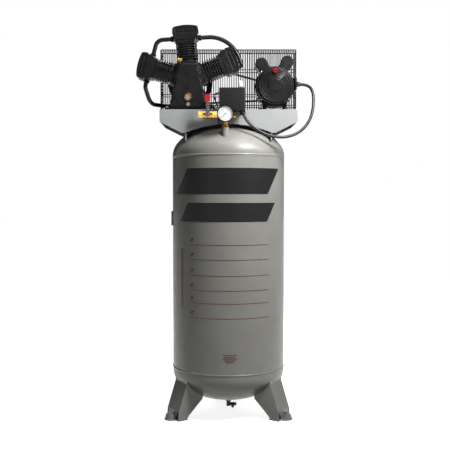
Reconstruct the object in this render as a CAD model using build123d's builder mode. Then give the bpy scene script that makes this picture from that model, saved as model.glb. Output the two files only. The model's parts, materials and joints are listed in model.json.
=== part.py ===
from build123d import *
import os
from math import asin, atan2, cos, degrees, radians, sin, sqrt

os.makedirs("parts", exist_ok=True)

# ---------------------------------------------------------------- driving dimensions (mm, +Z up)
# receiver
TANK_R = 254.0
TANK_WALL = 4.0
HEAD_DEPTH = 138.0
TANGENT_LOW = 200.0
TANGENT_TOP = 1177.0
SEAM_LOW = 220.0
SEAM_TOP = 1166.0
FOOT_R = 292.0
FOOT_BOLT_R = 300.0
BEAD = 2.4
FOOT_ANGLES = (90.0, -30.0, -150.0)

# platform
DECK_Z = 1370.0
DECK_T = 4.0
DECK_X = 302.0
DECK_Y = 160.0
SKIRT_END = 1316.0
SKIRT_TIP = 1268.0
SKIRT_ARCH = 1306.0
SADDLE_X = 190.0

# pump
PUMP_X = -178.0
CRANK_Z = 1519.0
CASE_BACK = 30.0
CASE_FRONT = -115.0
COVER_T = 12.0
CRANK_R = 23.0
ROD_LEN = 110.0
BORE_R = 30.0
RUN_GAP = 0.05
SEAT_D = 66.0
PLATE_D = 164.0
HEAD_D = 170.0
HEAD_TOP = 232.0
PIN_RISE = 30.0
SHAFT_R = 12.5
# the cylinder banks lean a little to the left of upright
LEAN = -4.0
BANK = 71.5
CYLINDERS = ((LEAN - BANK, -58.0), (LEAN, -45.0), (LEAN + BANK, -32.0))

# drive
BELT_Y = 105.0
WHEEL_PITCH = 96.0
MOTOR_PITCH = 36.0
MOTOR_X = 205.0
MOTOR_Z = 1477.0
MOTOR_R = 84.0
MOTOR_SHAFT_R = 9.5

# guard
GUARD_X = 315.0
GUARD_TOP = 1670.0
GUARD_FRONT = 60.0
GUARD_BACK = 150.0
WIRE = 3.0

# controls
CTRL_Y = -205.0
CTRL_Z = 1342.0
NIPPLE_X = -14.0
SWITCH_X = 15.0
CHECK_XY = (-60.0, 46.0)
SAFETY_Y = 205.0
VALVE_X = -90.0
GAUGE_R = 35.0
GAUGE_FACE = -262.0

# cable
CABLE_D = 13.0
CABLE_POINTS = (
    (308, -105, 1486),
    (344, -105, 1486),
    (371, -118, 1463),
    (376, -136, 1405),
    (362, -156, 1330),
    (318, -174, 1272),
    (252, -190, 1244),
    (176, -201, 1250),
    (112, -204, 1284),
    (72, -204, 1322),
    (57, -204, 1360),
)
CABLE_RADII = (40, 40, 120, 110, 110, 110, 110, 120, 60)


def save(block, label):
    """Name a finished block and write its file."""
    block.part.label = label
    export_step(block.part, "parts/" + label + ".step")


def facing(y):
    """Plane at depth y whose sketch axes are world X and Z, drawn toward -Y."""
    return Plane(origin=(0, y, 0), x_dir=(1, 0, 0), z_dir=(0, -1, 0))


def profile_plane(angle, y):
    """Pump plane at depth y: first axis across the cylinder, second along it."""
    a = radians(angle)
    return Plane(origin=(PUMP_X, y, CRANK_Z), x_dir=(cos(a), 0, -sin(a)), z_dir=(0, -1, 0))


def bore_plane(angle, y, dist):
    """Plane square to one cylinder at a distance from the crank axis."""
    a = radians(angle)
    origin = (PUMP_X + dist * sin(a), y, CRANK_Z + dist * cos(a))
    return Plane(origin=origin, x_dir=(cos(a), 0, -sin(a)), z_dir=(sin(a), 0, cos(a)))


def radial_plane(angle):
    """Upright plane through the tank axis: first axis outward, second up."""
    a = radians(angle)
    return Plane(origin=(0, 0, 0), x_dir=(cos(a), sin(a), 0), z_dir=(sin(a), -cos(a), 0))


def pin_rest(angle):
    """Distance of a wrist pin from the crank axis with the crank pin straight down."""
    a = radians(angle)
    return -CRANK_R * cos(a) + sqrt(ROD_LEN**2 - (CRANK_R * sin(a)) ** 2)


def head_profile(tangent, seam, sign):
    """Half section of one head: straight flange and half ellipse, closed on the axis."""
    inner = TANK_R - TANK_WALL
    depth = HEAD_DEPTH - TANK_WALL
    top = tangent + sign * HEAD_DEPTH
    low = tangent + sign * depth
    with BuildLine() as section:
        Line((inner, seam), (TANK_R, seam))
        Line((TANK_R, seam), (TANK_R, tangent))
        if sign > 0:
            EllipticalCenterArc((0, tangent), TANK_R, HEAD_DEPTH, start_angle=0, arc_size=90)
            EllipticalCenterArc((0, tangent), inner, depth, start_angle=0, arc_size=90)
        else:
            EllipticalCenterArc((0, tangent), TANK_R, HEAD_DEPTH, start_angle=-90, arc_size=90)
            EllipticalCenterArc((0, tangent), inner, depth, start_angle=-90, arc_size=90)
        Line((0, low), (0, top))
        Line((inner, tangent), (inner, seam))
    make_face(section.edges())


# solid shapes of the receiver, used to trim what is welded to it
with BuildPart() as tank_form:
    with BuildSketch(Plane.XZ):
        with BuildLine():
            Line((0, TANGENT_LOW - HEAD_DEPTH), (0, TANGENT_TOP + HEAD_DEPTH))
            EllipticalCenterArc((0, TANGENT_TOP), TANK_R, HEAD_DEPTH, start_angle=0, arc_size=90)
            Line((TANK_R, TANGENT_TOP), (TANK_R, TANGENT_LOW))
            EllipticalCenterArc((0, TANGENT_LOW), TANK_R, HEAD_DEPTH, start_angle=-90, arc_size=90)
        make_face()
    revolve(axis=Axis.Z)

# ---------------------------------------------------------------- receiver
with BuildPart() as tank_shell:
    with BuildSketch(Plane.XY.offset(SEAM_LOW)):
        Circle(TANK_R)
    extrude(amount=SEAM_TOP - SEAM_LOW)
    # raised plate on the left flank
    with BuildSketch(Plane.YZ.offset(-TANK_R + 6)):
        with Locations((0, 890)):
            RectangleRounded(56, 66, 6)
    extrude(amount=-12)
    with BuildSketch(Plane.XY.offset(SEAM_LOW)):
        Circle(TANK_R - TANK_WALL)
    extrude(amount=SEAM_TOP - SEAM_LOW, mode=Mode.SUBTRACT)
save(tank_shell, "tank_shell")

with BuildPart() as tank_top_head:
    with BuildSketch(Plane.XZ):
        head_profile(TANGENT_TOP, SEAM_TOP, 1)
    revolve(axis=Axis.Z)
    # weld bead over the seam
    with BuildSketch(Plane.XZ):
        with Locations((TANK_R + 1, SEAM_TOP + 5)):
            Rectangle(BEAD, 10)
    revolve(axis=Axis.Z)
    with BuildSketch(Plane.XY.offset(TANGENT_TOP)):
        with Locations((NIPPLE_X, CTRL_Y), CHECK_XY, (0, SAFETY_Y)):
            Circle(9)
    extrude(amount=HEAD_DEPTH + 10, mode=Mode.SUBTRACT)
save(tank_top_head, "tank_top_head")

with BuildPart() as tank_bottom_head:
    with BuildSketch(Plane.XZ):
        head_profile(TANGENT_LOW, SEAM_LOW, -1)
    revolve(axis=Axis.Z)
    with BuildSketch(Plane.XZ):
        with Locations((TANK_R + 1, SEAM_LOW - 5)):
            Rectangle(BEAD, 10)
    revolve(axis=Axis.Z)
    with BuildSketch(Plane.XY.offset(TANGENT_LOW - HEAD_DEPTH - 10)):
        Circle(7)
    extrude(amount=40, mode=Mode.SUBTRACT)
save(tank_bottom_head, "tank_bottom_head")

PORT_TOPS = (
    (NIPPLE_X, CTRL_Y, 1286.0),
    (CHECK_XY[0], CHECK_XY[1], 1326.0),
    (0.0, SAFETY_Y, 1286.0),
)
with BuildPart() as tank_ports:
    for px, py, pz in PORT_TOPS:
        with BuildSketch(Plane.XY.offset(pz)):
            with Locations((px, py)):
                Circle(16)
        extrude(amount=-70)
    with BuildSketch(Plane.XY.offset(46)):
        Circle(13)
    extrude(amount=40)
    add(tank_form.part, mode=Mode.SUBTRACT)
    for px, py, pz in PORT_TOPS:
        with BuildSketch(Plane.XY.offset(pz)):
            with Locations((px, py)):
                Circle(9)
        extrude(amount=-70, mode=Mode.SUBTRACT)
    with BuildSketch(Plane.XY.offset(46)):
        Circle(7)
    extrude(amount=40, mode=Mode.SUBTRACT)
save(tank_ports, "tank_ports")

# pressed channel legs, welded under the lower head and splayed to round pads
LEG_HALF = 56.0
LEG_T = 5.0
LEG_IN = 165.0
LEG_OUT = 244.0
ANKLE_R = 284.0
ANKLE_Z = 40.0
PAD_R = 30.0
with BuildPart() as tank_feet:
    for angle in FOOT_ANGLES:
        a = radians(angle)
        with BuildSketch(radial_plane(angle)):
            with BuildLine():
                Polyline(
                    (262, 0),
                    (ANKLE_R + 4, 0),
                    (ANKLE_R, ANKLE_Z),
                    (LEG_OUT, 160),
                    (LEG_OUT, 190),
                    (LEG_IN, 190),
                    (LEG_IN, 88),
                    (232, 22),
                )
                ThreePointArc((232, 22), (245, 8), (262, 0))
            make_face()
        extrude(amount=LEG_HALF, both=True)
        with BuildSketch(radial_plane(angle)):
            with BuildLine():
                Polyline(
                    (150, -1),
                    (ANKLE_R + 4 - LEG_T, -1),
                    (ANKLE_R - LEG_T, ANKLE_Z),
                    (LEG_OUT - LEG_T, 160),
                    (LEG_OUT - LEG_T, 200),
                    (150, 200),
                    close=True,
                )
            make_face()
        extrude(amount=LEG_HALF - LEG_T, both=True, mode=Mode.SUBTRACT)
        # the web narrows toward the pad
        cheek = Plane(origin=(0, 0, 0), x_dir=(-sin(a), cos(a), 0), z_dir=(cos(a), sin(a), 0))
        with BuildSketch(cheek.offset(ANKLE_R - 2 * LEG_T)):
            with BuildLine():
                Polyline((PAD_R, -1), (PAD_R, 12), (LEG_HALF - LEG_T, 44), (LEG_HALF - LEG_T, -1), close=True)
            make_face()
            mirror(about=Plane.YZ)
        extrude(amount=30, mode=Mode.SUBTRACT)
        foot = (FOOT_R * cos(a), FOOT_R * sin(a))
        bolt = (FOOT_BOLT_R * cos(a), FOOT_BOLT_R * sin(a))
        with BuildSketch(Plane.XY):
            with Locations(foot):
                Circle(PAD_R + 3)
            with Locations(Location((262 * cos(a), 262 * sin(a), 0), (0, 0, angle))):
                Rectangle(50, 2 * (LEG_HALF - LEG_T))
        extrude(amount=5)
        with BuildSketch(Plane.XY.offset(5)):
            with Locations(bolt):
                Circle(PAD_R - 7)
        extrude(amount=19, taper=12)
        with BuildSketch(Plane.XY.offset(24)):
            with Locations(bolt):
                RegularPolygon(12.5, 6)
        extrude(amount=10)
        with BuildSketch(Plane.XY):
            with Locations(bolt):
                Circle(6.5)
        extrude(amount=40, mode=Mode.SUBTRACT)
    add(tank_form.part, mode=Mode.SUBTRACT)
save(tank_feet, "tank_feet")

with BuildPart() as drain_body:
    with BuildSketch(Plane.XY.offset(22)):
        Circle(9)
    extrude(amount=24)
    with BuildSketch(Plane.XY.offset(46)):
        Circle(6.9)
    extrude(amount=12)
    with BuildSketch(Plane.YZ):
        with Locations((0, 30)):
            Circle(8)
    extrude(amount=30)
    with BuildSketch(Plane.XY.offset(14)):
        with Locations((20, 0)):
            Circle(6)
    extrude(amount=14)
    with BuildSketch(Plane.XY.offset(14)):
        with Locations((20, 0)):
            Circle(3.5)
    extrude(amount=16, mode=Mode.SUBTRACT)
    with BuildSketch(Plane.YZ.offset(2)):
        with Locations((0, 30)):
            Circle(4)
    extrude(amount=28, mode=Mode.SUBTRACT)
    with BuildSketch(Plane.XY.offset(30)):
        Circle(3.5)
    extrude(amount=28, mode=Mode.SUBTRACT)
save(drain_body, "drain_body")

with BuildPart() as drain_handle:
    with BuildSketch(Plane.YZ.offset(5)):
        with Locations((0, 30)):
            Circle(3.9)
    extrude(amount=29)
    with BuildSketch(Plane.YZ.offset(32)):
        with Locations((0, 30)):
            SlotOverall(34, 10)
    extrude(amount=5)
save(drain_handle, "drain_handle")

with BuildPart() as safety_body:
    with BuildSketch(Plane.XY.offset(1286)):
        with Locations((0, SAFETY_Y)):
            RegularPolygon(13, 6)
    extrude(amount=10)
    with BuildSketch(Plane.XY.offset(1270)):
        with Locations((0, SAFETY_Y)):
            Circle(8.9)
    extrude(amount=16)
    with BuildSketch(Plane.XY.offset(1296)):
        with Locations((0, SAFETY_Y)):
            Circle(11)
    extrude(amount=34)
    with BuildSketch(Plane.XY.offset(1284)):
        with Locations((0, SAFETY_Y)):
            Circle(7)
    extrude(amount=40, mode=Mode.SUBTRACT)
    with BuildSketch(Plane.XY.offset(1260)):
        with Locations((0, SAFETY_Y)):
            Circle(3.2)
    extrude(amount=80, mode=Mode.SUBTRACT)
save(safety_body, "safety_body")

with BuildPart() as safety_ring:
    with BuildSketch(Plane.XY.offset(1292)):
        with Locations((0, SAFETY_Y)):
            Circle(3.1)
    extrude(amount=46)
    with BuildSketch(Plane.XY.offset(1284.5)):
        with Locations((0, SAFETY_Y)):
            Circle(6.4)
    extrude(amount=9)
    with BuildSketch(Plane.XZ.offset(-SAFETY_Y)):
        with Locations((0, 1350)):
            Circle(14)
            Circle(11, mode=Mode.SUBTRACT)
    extrude(amount=1.5, both=True)
save(safety_ring, "safety_ring")

# ---------------------------------------------------------------- platform
BOLTS_PUMP = [(PUMP_X + sx * 92, y) for sx in (-1, 1) for y in (-100, 14)]
BOLTS_MOTOR = [(MOTOR_X + sx * 62, y) for sx in (-1, 1) for y in (-84, 12)]
with BuildPart() as platform:
    with BuildSketch(Plane.XY.offset(DECK_Z)):
        RectangleRounded(2 * DECK_X, 2 * DECK_Y, 10)
    extrude(amount=-DECK_T)
    # front and back skirts arch over the crown and taper to four tips
    for y in (-DECK_Y, DECK_Y - DECK_T):
        with BuildSketch(facing(y + DECK_T)):
            with BuildLine():
                Line((-DECK_X, DECK_Z - DECK_T), (-DECK_X, SKIRT_END))
                Line((-DECK_X, SKIRT_END), (-206, SKIRT_TIP))
                Line((-206, SKIRT_TIP), (-190, SKIRT_TIP))
                ThreePointArc((-190, SKIRT_TIP), (0, SKIRT_ARCH), (190, SKIRT_TIP))
                Line((190, SKIRT_TIP), (206, SKIRT_TIP))
                Line((206, SKIRT_TIP), (DECK_X, SKIRT_END))
                Line((DECK_X, SKIRT_END), (DECK_X, DECK_Z - DECK_T))
                Line((DECK_X, DECK_Z - DECK_T), (-DECK_X, DECK_Z - DECK_T))
            make_face()
        extrude(amount=DECK_T)
    # end skirts
    for x in (-DECK_X, DECK_X - DECK_T):
        with BuildSketch(Plane.YZ.offset(x)):
            with Locations((0, (DECK_Z - DECK_T + SKIRT_END) / 2)):
                Rectangle(2 * (DECK_Y - DECK_T), DECK_Z - DECK_T - SKIRT_END)
        extrude(amount=DECK_T)
    # two saddle plates welded on the crown
    for x in (-SADDLE_X, SADDLE_X - 5):
        with BuildSketch(Plane.YZ.offset(x)):
            with Locations((0, 1300)):
                Rectangle(2 * (DECK_Y - DECK_T), 2 * (DECK_Z - DECK_T - 1300))
        extrude(amount=5)
    add(tank_form.part, mode=Mode.SUBTRACT)
    with BuildSketch(Plane.XY.offset(DECK_Z)):
        with Locations(*BOLTS_PUMP, *BOLTS_MOTOR):
            Circle(5.4)
        with Locations(CHECK_XY):
            Circle(14)
    extrude(amount=-10, mode=Mode.SUBTRACT)
save(platform, "platform")

BASE_T = 12.0
FOOT_T = 6.0
with BuildPart() as mount_bolts:
    for group, seat in ((BOLTS_PUMP, BASE_T), (BOLTS_MOTOR, FOOT_T)):
        for x, y in group:
            with BuildSketch(Plane.XY.offset(DECK_Z + seat)):
                with Locations((x, y)):
                    RegularPolygon(8.5, 6)
            extrude(amount=7)
            with BuildSketch(Plane.XY.offset(DECK_Z + seat)):
                with Locations((x, y)):
                    Circle(5)
            extrude(amount=-(seat + DECK_T + 10))
            with BuildSketch(Plane.XY.offset(DECK_Z - DECK_T)):
                with Locations((x, y)):
                    RegularPolygon(8.5, 6)
            extrude(amount=-7)
save(mount_bolts, "mount_bolts")

# ---------------------------------------------------------------- pump
CASE_DEPTH = CASE_BACK - CASE_FRONT
CAVITY_BACK = -5.0
GLASS_Z = 1428.0
PLUG_Z = 1396.0
CASE_TOP = CRANK_Z + SEAT_D - 4
COVER_TOP = CASE_TOP - 1
BREATHER_X = PUMP_X - 38
BREATHER_Y = CASE_FRONT - 4
COVER_BOLTS = [
    (sx * x, z) for sx in (-1, 1) for x, z in ((29, 1562), (53, 1522), (65, 1456), (76, 1393))
]


def case_outline(top, low, top_z, low_z):
    """Tapered front outline of the crankcase."""
    with BuildLine() as outline:
        Polyline(
            (PUMP_X - top, top_z), (PUMP_X + top, top_z), (PUMP_X + low, low_z), (PUMP_X - low, low_z), close=True
        )
    make_face(outline.edges())


with BuildPart() as crankcase:
    with BuildSketch(facing(CASE_BACK)):
        case_outline(44, 87, CASE_TOP, DECK_Z + 2)
    extrude(amount=CASE_DEPTH)
    with BuildSketch(Plane.XY.offset(DECK_Z)):
        with Locations((PUMP_X, (CASE_BACK + CASE_FRONT) / 2)):
            RectangleRounded(208, CASE_DEPTH, 10)
    extrude(amount=BASE_T)
    for angle, y in CYLINDERS:
        with BuildSketch(bore_plane(angle, y, SEAT_D)):
            Rectangle(93, 93)
        extrude(amount=-SEAT_D + 20)
    with BuildSketch(facing(CASE_BACK)):
        with Locations((PUMP_X, CRANK_Z)):
            Circle(38)
    extrude(amount=-6)
    with BuildSketch(facing(CAVITY_BACK)):
        case_outline(38, 79, CASE_TOP - 6, DECK_Z + BASE_T + 4)
    extrude(amount=CAVITY_BACK - CASE_FRONT, mode=Mode.SUBTRACT)
    for angle, y in CYLINDERS:
        with BuildSketch(bore_plane(angle, y, SEAT_D)):
            Circle(33)
        extrude(amount=-SEAT_D + 12, mode=Mode.SUBTRACT)
    with BuildSketch(facing(CASE_BACK + 6)):
        with Locations((PUMP_X, CRANK_Z)):
            Circle(26)
    extrude(amount=50, mode=Mode.SUBTRACT)
    with BuildSketch(facing(CASE_FRONT)):
        with Locations(*[(PUMP_X + x, z) for x, z in COVER_BOLTS]):
            Circle(2.6)
    extrude(amount=-14, mode=Mode.SUBTRACT)
    with BuildSketch(Plane.XY.offset(DECK_Z)):
        with Locations(*BOLTS_PUMP):
            Circle(5.4)
    extrude(amount=BASE_T, mode=Mode.SUBTRACT)
    with BuildSketch(Plane.XY.offset(DECK_Z + BASE_T)):
        with Locations(*BOLTS_PUMP):
            Circle(11)
    extrude(amount=9, mode=Mode.SUBTRACT)
save(crankcase, "crankcase")

with BuildPart() as front_cover:
    with BuildSketch(facing(CASE_FRONT)):
        case_outline(43, 84, COVER_TOP, DECK_Z + BASE_T)
    extrude(amount=COVER_T - 4)
    with BuildSketch(facing(CASE_FRONT - COVER_T + 4)):
        case_outline(39, 79, COVER_TOP - 5, DECK_Z + BASE_T + 4)
    extrude(amount=4, taper=35)
    with BuildSketch(facing(CASE_FRONT - COVER_T + 6)):
        with Locations((PUMP_X, CRANK_Z)):
            Circle(30)
    extrude(amount=6)
    with BuildSketch(facing(CASE_FRONT)):
        with Locations((PUMP_X, GLASS_Z)):
            Circle(13)
        with Locations((PUMP_X, PLUG_Z)):
            Circle(6.5)
        with Locations(*[(PUMP_X + x, z) for x, z in COVER_BOLTS]):
            Circle(3.4)
    extrude(amount=COVER_T + 4, mode=Mode.SUBTRACT)
    with BuildSketch(facing(CASE_FRONT - COVER_T + 4)):
        with Locations(*[(PUMP_X + x, z) for x, z in COVER_BOLTS]):
            Circle(7.5)
    extrude(amount=20, mode=Mode.SUBTRACT)
    with BuildSketch(Plane.XY.offset(COVER_TOP - 8)):
        with Locations((BREATHER_X, BREATHER_Y)):
            Circle(3)
    extrude(amount=10, mode=Mode.SUBTRACT)
save(front_cover, "front_cover")

with BuildPart() as cover_bolts:
    for x, z in COVER_BOLTS:
        with BuildSketch(facing(CASE_FRONT - COVER_T + 4)):
            with Locations((PUMP_X + x, z)):
                RegularPolygon(6.5, 6)
        extrude(amount=5)
        with BuildSketch(facing(CASE_FRONT - COVER_T + 4)):
            with Locations((PUMP_X + x, z)):
                Circle(2.5)
        extrude(amount=-20)
save(cover_bolts, "cover_bolts")

COVER_FACE = CASE_FRONT - COVER_T
with BuildPart() as sight_ring:
    with BuildSketch(facing(COVER_FACE + 14)):
        with Locations((PUMP_X, GLASS_Z)):
            Circle(12.9)
    extrude(amount=14)
    with BuildSketch(facing(COVER_FACE)):
        with Locations((PUMP_X, GLASS_Z)):
            Circle(19)
    extrude(amount=6, taper=12)
    with BuildSketch(facing(COVER_FACE + 14)):
        with Locations((PUMP_X, GLASS_Z)):
            Circle(9)
    extrude(amount=30, mode=Mode.SUBTRACT)
    with BuildSketch(facing(COVER_FACE - 1)):
        with Locations((PUMP_X, GLASS_Z)):
            Circle(13)
    extrude(amount=10, mode=Mode.SUBTRACT)
save(sight_ring, "sight_ring")

with BuildPart() as sight_lens:
    with BuildSketch(facing(COVER_FACE - 1)):
        with Locations((PUMP_X, GLASS_Z)):
            Circle(12.9)
    extrude(amount=3)
save(sight_lens, "sight_lens")

with BuildPart() as oil_plug:
    with BuildSketch(facing(COVER_FACE)):
        with Locations((PUMP_X, PLUG_Z)):
            RegularPolygon(9, 6)
    extrude(amount=7)
    with BuildSketch(facing(COVER_FACE + 12)):
        with Locations((PUMP_X, PLUG_Z)):
            Circle(6.4)
    extrude(amount=12)
save(oil_plug, "oil_plug")

with BuildPart() as breather:
    with BuildSketch(Plane.XY.offset(COVER_TOP - 8)):
        with Locations((BREATHER_X, BREATHER_Y)):
            Circle(2.9)
    extrude(amount=9)
    with BuildSketch(Plane.XY.offset(COVER_TOP + 1)):
        with Locations((BREATHER_X, BREATHER_Y)):
            RegularPolygon(7.5, 6)
    extrude(amount=7)
    with BuildSketch(Plane.YZ.offset(BREATHER_X - 9)):
        with Locations((BREATHER_Y, COVER_TOP + 13)):
            Circle(5.5)
    extrude(amount=21)
    with BuildSketch(Plane.XY.offset(COVER_TOP + 8)):
        with Locations((BREATHER_X - 4, BREATHER_Y)):
            Circle(4)
    extrude(amount=13)
save(breather, "breather")

BARREL_W = 93.0
with BuildPart() as cylinders:
    for angle, y in CYLINDERS:
        with BuildSketch(bore_plane(angle, y, SEAT_D)):
            RectangleRounded(92, 92, 8)
        extrude(amount=9)
        with BuildSketch(bore_plane(angle, y, SEAT_D - 8)):
            Circle(32.8)
        extrude(amount=8)
        with BuildSketch(bore_plane(angle, y, SEAT_D)):
            Circle(38)
        extrude(amount=PLATE_D - SEAT_D)
        for n in range(7):
            with BuildSketch(bore_plane(angle, y, SEAT_D + 18 + 11 * n)):
                RectangleRounded(BARREL_W, BARREL_W, 14)
            extrude(amount=4)
        with BuildSketch(bore_plane(angle, y, PLATE_D - 8)):
            RectangleRounded(BARREL_W, BARREL_W, 8)
        extrude(amount=8)
        with BuildSketch(bore_plane(angle, y, SEAT_D - 10)):
            Circle(BORE_R)
        extrude(amount=PLATE_D, mode=Mode.SUBTRACT)
save(cylinders, "cylinders")

with BuildPart() as valve_plates:
    for angle, y in CYLINDERS:
        with BuildSketch(bore_plane(angle, y, PLATE_D)):
            RectangleRounded(96, BARREL_W, 8)
            with Locations((-14, 0), (14, 0)):
                Circle(5, mode=Mode.SUBTRACT)
        extrude(amount=HEAD_D - PLATE_D)
save(valve_plates, "valve_plates")

HEAD_W = 118.0
HEAD_DEPTH_Y = 100.0
# a straight port block carries a tapered hood
BASE_W = 108.0
HOOD_D = HEAD_D + 25
SHOULDER = HEAD_TOP - 14
CAP_END = 57.0
with BuildPart() as cylinder_heads:
    for angle, y in CYLINDERS:
        with BuildSketch(profile_plane(angle, y + HEAD_DEPTH_Y / 2)):
            with BuildLine():
                Polyline(
                    (-CAP_END, SHOULDER), (-HEAD_W / 2, HOOD_D + 4), (-BASE_W / 2, HOOD_D), (-BASE_W / 2, HEAD_D)
                )
                Line((-BASE_W / 2, HEAD_D), (BASE_W / 2, HEAD_D))
                Polyline(
                    (BASE_W / 2, HEAD_D), (BASE_W / 2, HOOD_D), (HEAD_W / 2, HOOD_D + 4), (CAP_END, SHOULDER)
                )
                ThreePointArc((CAP_END, SHOULDER), (CAP_END - 4, SHOULDER + 6), (46, HEAD_TOP - 5))
                ThreePointArc((46, HEAD_TOP - 5), (0, HEAD_TOP), (-46, HEAD_TOP - 5))
                ThreePointArc((-46, HEAD_TOP - 5), (4 - CAP_END, SHOULDER + 6), (-CAP_END, SHOULDER))
            make_face()
        extrude(amount=HEAD_DEPTH_Y)
        # sunk panels on the front and back
        for face_y, way in ((y - HEAD_DEPTH_Y / 2, -1), (y + HEAD_DEPTH_Y / 2, 1)):
            with BuildSketch(profile_plane(angle, face_y)):
                with Locations((0, (HOOD_D + HEAD_TOP) / 2 - 3)):
                    RectangleRounded(92, 24, 6)
                    RectangleRounded(76, 10, 3, mode=Mode.SUBTRACT)
            extrude(amount=3 * way, mode=Mode.SUBTRACT)
        # intake and delivery chambers
        for side in (-1, 1):
            with BuildSketch(bore_plane(angle, y, HEAD_D)):
                with Locations((side * 24, 0)):
                    RectangleRounded(36, 74, 5)
            extrude(amount=HEAD_TOP - HEAD_D - 14, mode=Mode.SUBTRACT)
save(cylinder_heads, "cylinder_heads")

PISTON_NAMES = ("piston_left", "piston_centre", "piston_right")
for (angle, y), name in zip(CYLINDERS, PISTON_NAMES):
    pin = pin_rest(angle)
    with BuildPart() as piston:
        with BuildSketch(bore_plane(angle, y, pin - 15)):
            Circle(BORE_R - RUN_GAP)
        extrude(amount=PIN_RISE + 15)
        with BuildSketch(bore_plane(angle, y, pin - 15)):
            Circle(24)
        extrude(amount=PIN_RISE + 10, mode=Mode.SUBTRACT)
        for groove in (-5, -10, -15):
            with BuildSketch(bore_plane(angle, y, pin + PIN_RISE + groove)):
                Circle(BORE_R + 1)
                Circle(28.6, mode=Mode.SUBTRACT)
            extrude(amount=2, mode=Mode.SUBTRACT)
    save(piston, name)

PIN_Z = CRANK_Z - CRANK_R
with BuildPart() as connecting_rods:
    for angle, y in CYLINDERS:
        a = radians(angle)
        pin = pin_rest(angle)
        big = (PUMP_X, PIN_Z)
        small = (PUMP_X + pin * sin(a), CRANK_Z + pin * cos(a))
        ux = (small[0] - big[0]) / ROD_LEN
        uz = (small[1] - big[1]) / ROD_LEN
        with BuildSketch(facing(y + 4)):
            with BuildLine():
                Polyline(
                    (big[0] + 14 * ux - 7 * uz, big[1] + 14 * uz + 7 * ux),
                    (small[0] - 8 * ux - 5 * uz, small[1] - 8 * uz + 5 * ux),
                    (small[0] - 8 * ux + 5 * uz, small[1] - 8 * uz - 5 * ux),
                    (big[0] + 14 * ux + 7 * uz, big[1] + 14 * uz - 7 * ux),
                    close=True,
                )
            make_face()
        extrude(amount=8)
        with BuildSketch(facing(y + 6)):
            with Locations(big):
                Circle(17)
            with Locations(small):
                Circle(9.5)
            with Locations(big):
                Circle(10.3, mode=Mode.SUBTRACT)
            with Locations(small):
                Circle(6.2, mode=Mode.SUBTRACT)
        extrude(amount=12)
save(connecting_rods, "connecting_rods")

WEB_FRONT = -25.0
WEB_BACK = -10.0
with BuildPart() as crank_pins:
    with BuildSketch(facing(-20)):
        with Locations((PUMP_X, PIN_Z)):
            Circle(10)
    extrude(amount=47)
    for angle, y in CYLINDERS:
        a = radians(angle)
        pin = pin_rest(angle)
        with BuildSketch(facing(y + 9)):
            with Locations((PUMP_X + pin * sin(a), CRANK_Z + pin * cos(a))):
                Circle(6)
        extrude(amount=18)
save(crank_pins, "crank_pins")

with BuildPart() as crankshaft:
    with BuildSketch(facing(BELT_Y + 20)):
        with Locations((PUMP_X, CRANK_Z)):
            Circle(SHAFT_R - RUN_GAP)
    extrude(amount=BELT_Y + 20 + 8)
    with BuildSketch(facing(-8)):
        with Locations((PUMP_X, CRANK_Z)):
            Circle(22)
        with Locations((PUMP_X, CRANK_Z - CRANK_R)):
            Circle(15)
        with Locations((PUMP_X, CRANK_Z - CRANK_R / 2)):
            Rectangle(30, CRANK_R)
        with BuildLine():
            Line((PUMP_X - 38, CRANK_Z + 8), (PUMP_X + 38, CRANK_Z + 8))
            ThreePointArc((PUMP_X + 38, CRANK_Z + 8), (PUMP_X, CRANK_Z + 39), (PUMP_X - 38, CRANK_Z + 8))
        make_face()
    extrude(amount=10)
save(crankshaft, "crankshaft")

with BuildPart() as bearings:
    for y in (10, 29):
        with BuildSketch(facing(y)):
            with Locations((PUMP_X, CRANK_Z)):
                Circle(25.9)
                Circle(SHAFT_R, mode=Mode.SUBTRACT)
        extrude(amount=15)
    with BuildSketch(facing(CASE_BACK + 6)):
        with Locations((PUMP_X, CRANK_Z)):
            Circle(25.9)
            Circle(SHAFT_R + 0.05, mode=Mode.SUBTRACT)
    extrude(amount=6)
    for y in (-120, 44):
        with BuildSketch(facing(y)):
            with Locations((MOTOR_X, MOTOR_Z)):
                Circle(19.9)
                Circle(MOTOR_SHAFT_R, mode=Mode.SUBTRACT)
        extrude(amount=12)
save(bearings, "bearings")


def grooved_rim(x, z, outer, pitch, width):
    """Turned rim with one belt groove, centred on the belt plane."""
    with BuildSketch(facing(BELT_Y + width / 2)) as blank:
        with Locations((x, z)):
            Circle(outer)
    extrude(blank.sketch, amount=width)
    with BuildSketch(facing(BELT_Y + 7)) as groove:
        with Locations((x, z)):
            Circle(outer + 1)
            Circle(pitch - 5, mode=Mode.SUBTRACT)
    extrude(groove.sketch, amount=14, mode=Mode.SUBTRACT)


with BuildPart() as flywheel:
    grooved_rim(PUMP_X, CRANK_Z, WHEEL_PITCH + 8, WHEEL_PITCH, 30)
    with BuildSketch(facing(BELT_Y + 15)):
        with Locations((PUMP_X, CRANK_Z)):
            Circle(WHEEL_PITCH - 14)
    extrude(amount=30, mode=Mode.SUBTRACT)
    with BuildSketch(facing(BELT_Y + 5)):
        with Locations((PUMP_X, CRANK_Z)):
            with PolarLocations(0, 5):
                with Locations((54, 0)):
                    Rectangle(62, 24)
    extrude(amount=10)
    with BuildSketch(facing(BELT_Y + 20)):
        with Locations((PUMP_X, CRANK_Z)):
            Circle(27)
    extrude(amount=40)
    with BuildSketch(facing(BELT_Y + 30)):
        with Locations((PUMP_X, CRANK_Z)):
            Circle(SHAFT_R - RUN_GAP)
    extrude(amount=60, mode=Mode.SUBTRACT)
save(flywheel, "flywheel")

TUBE_R = 9.5


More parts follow.
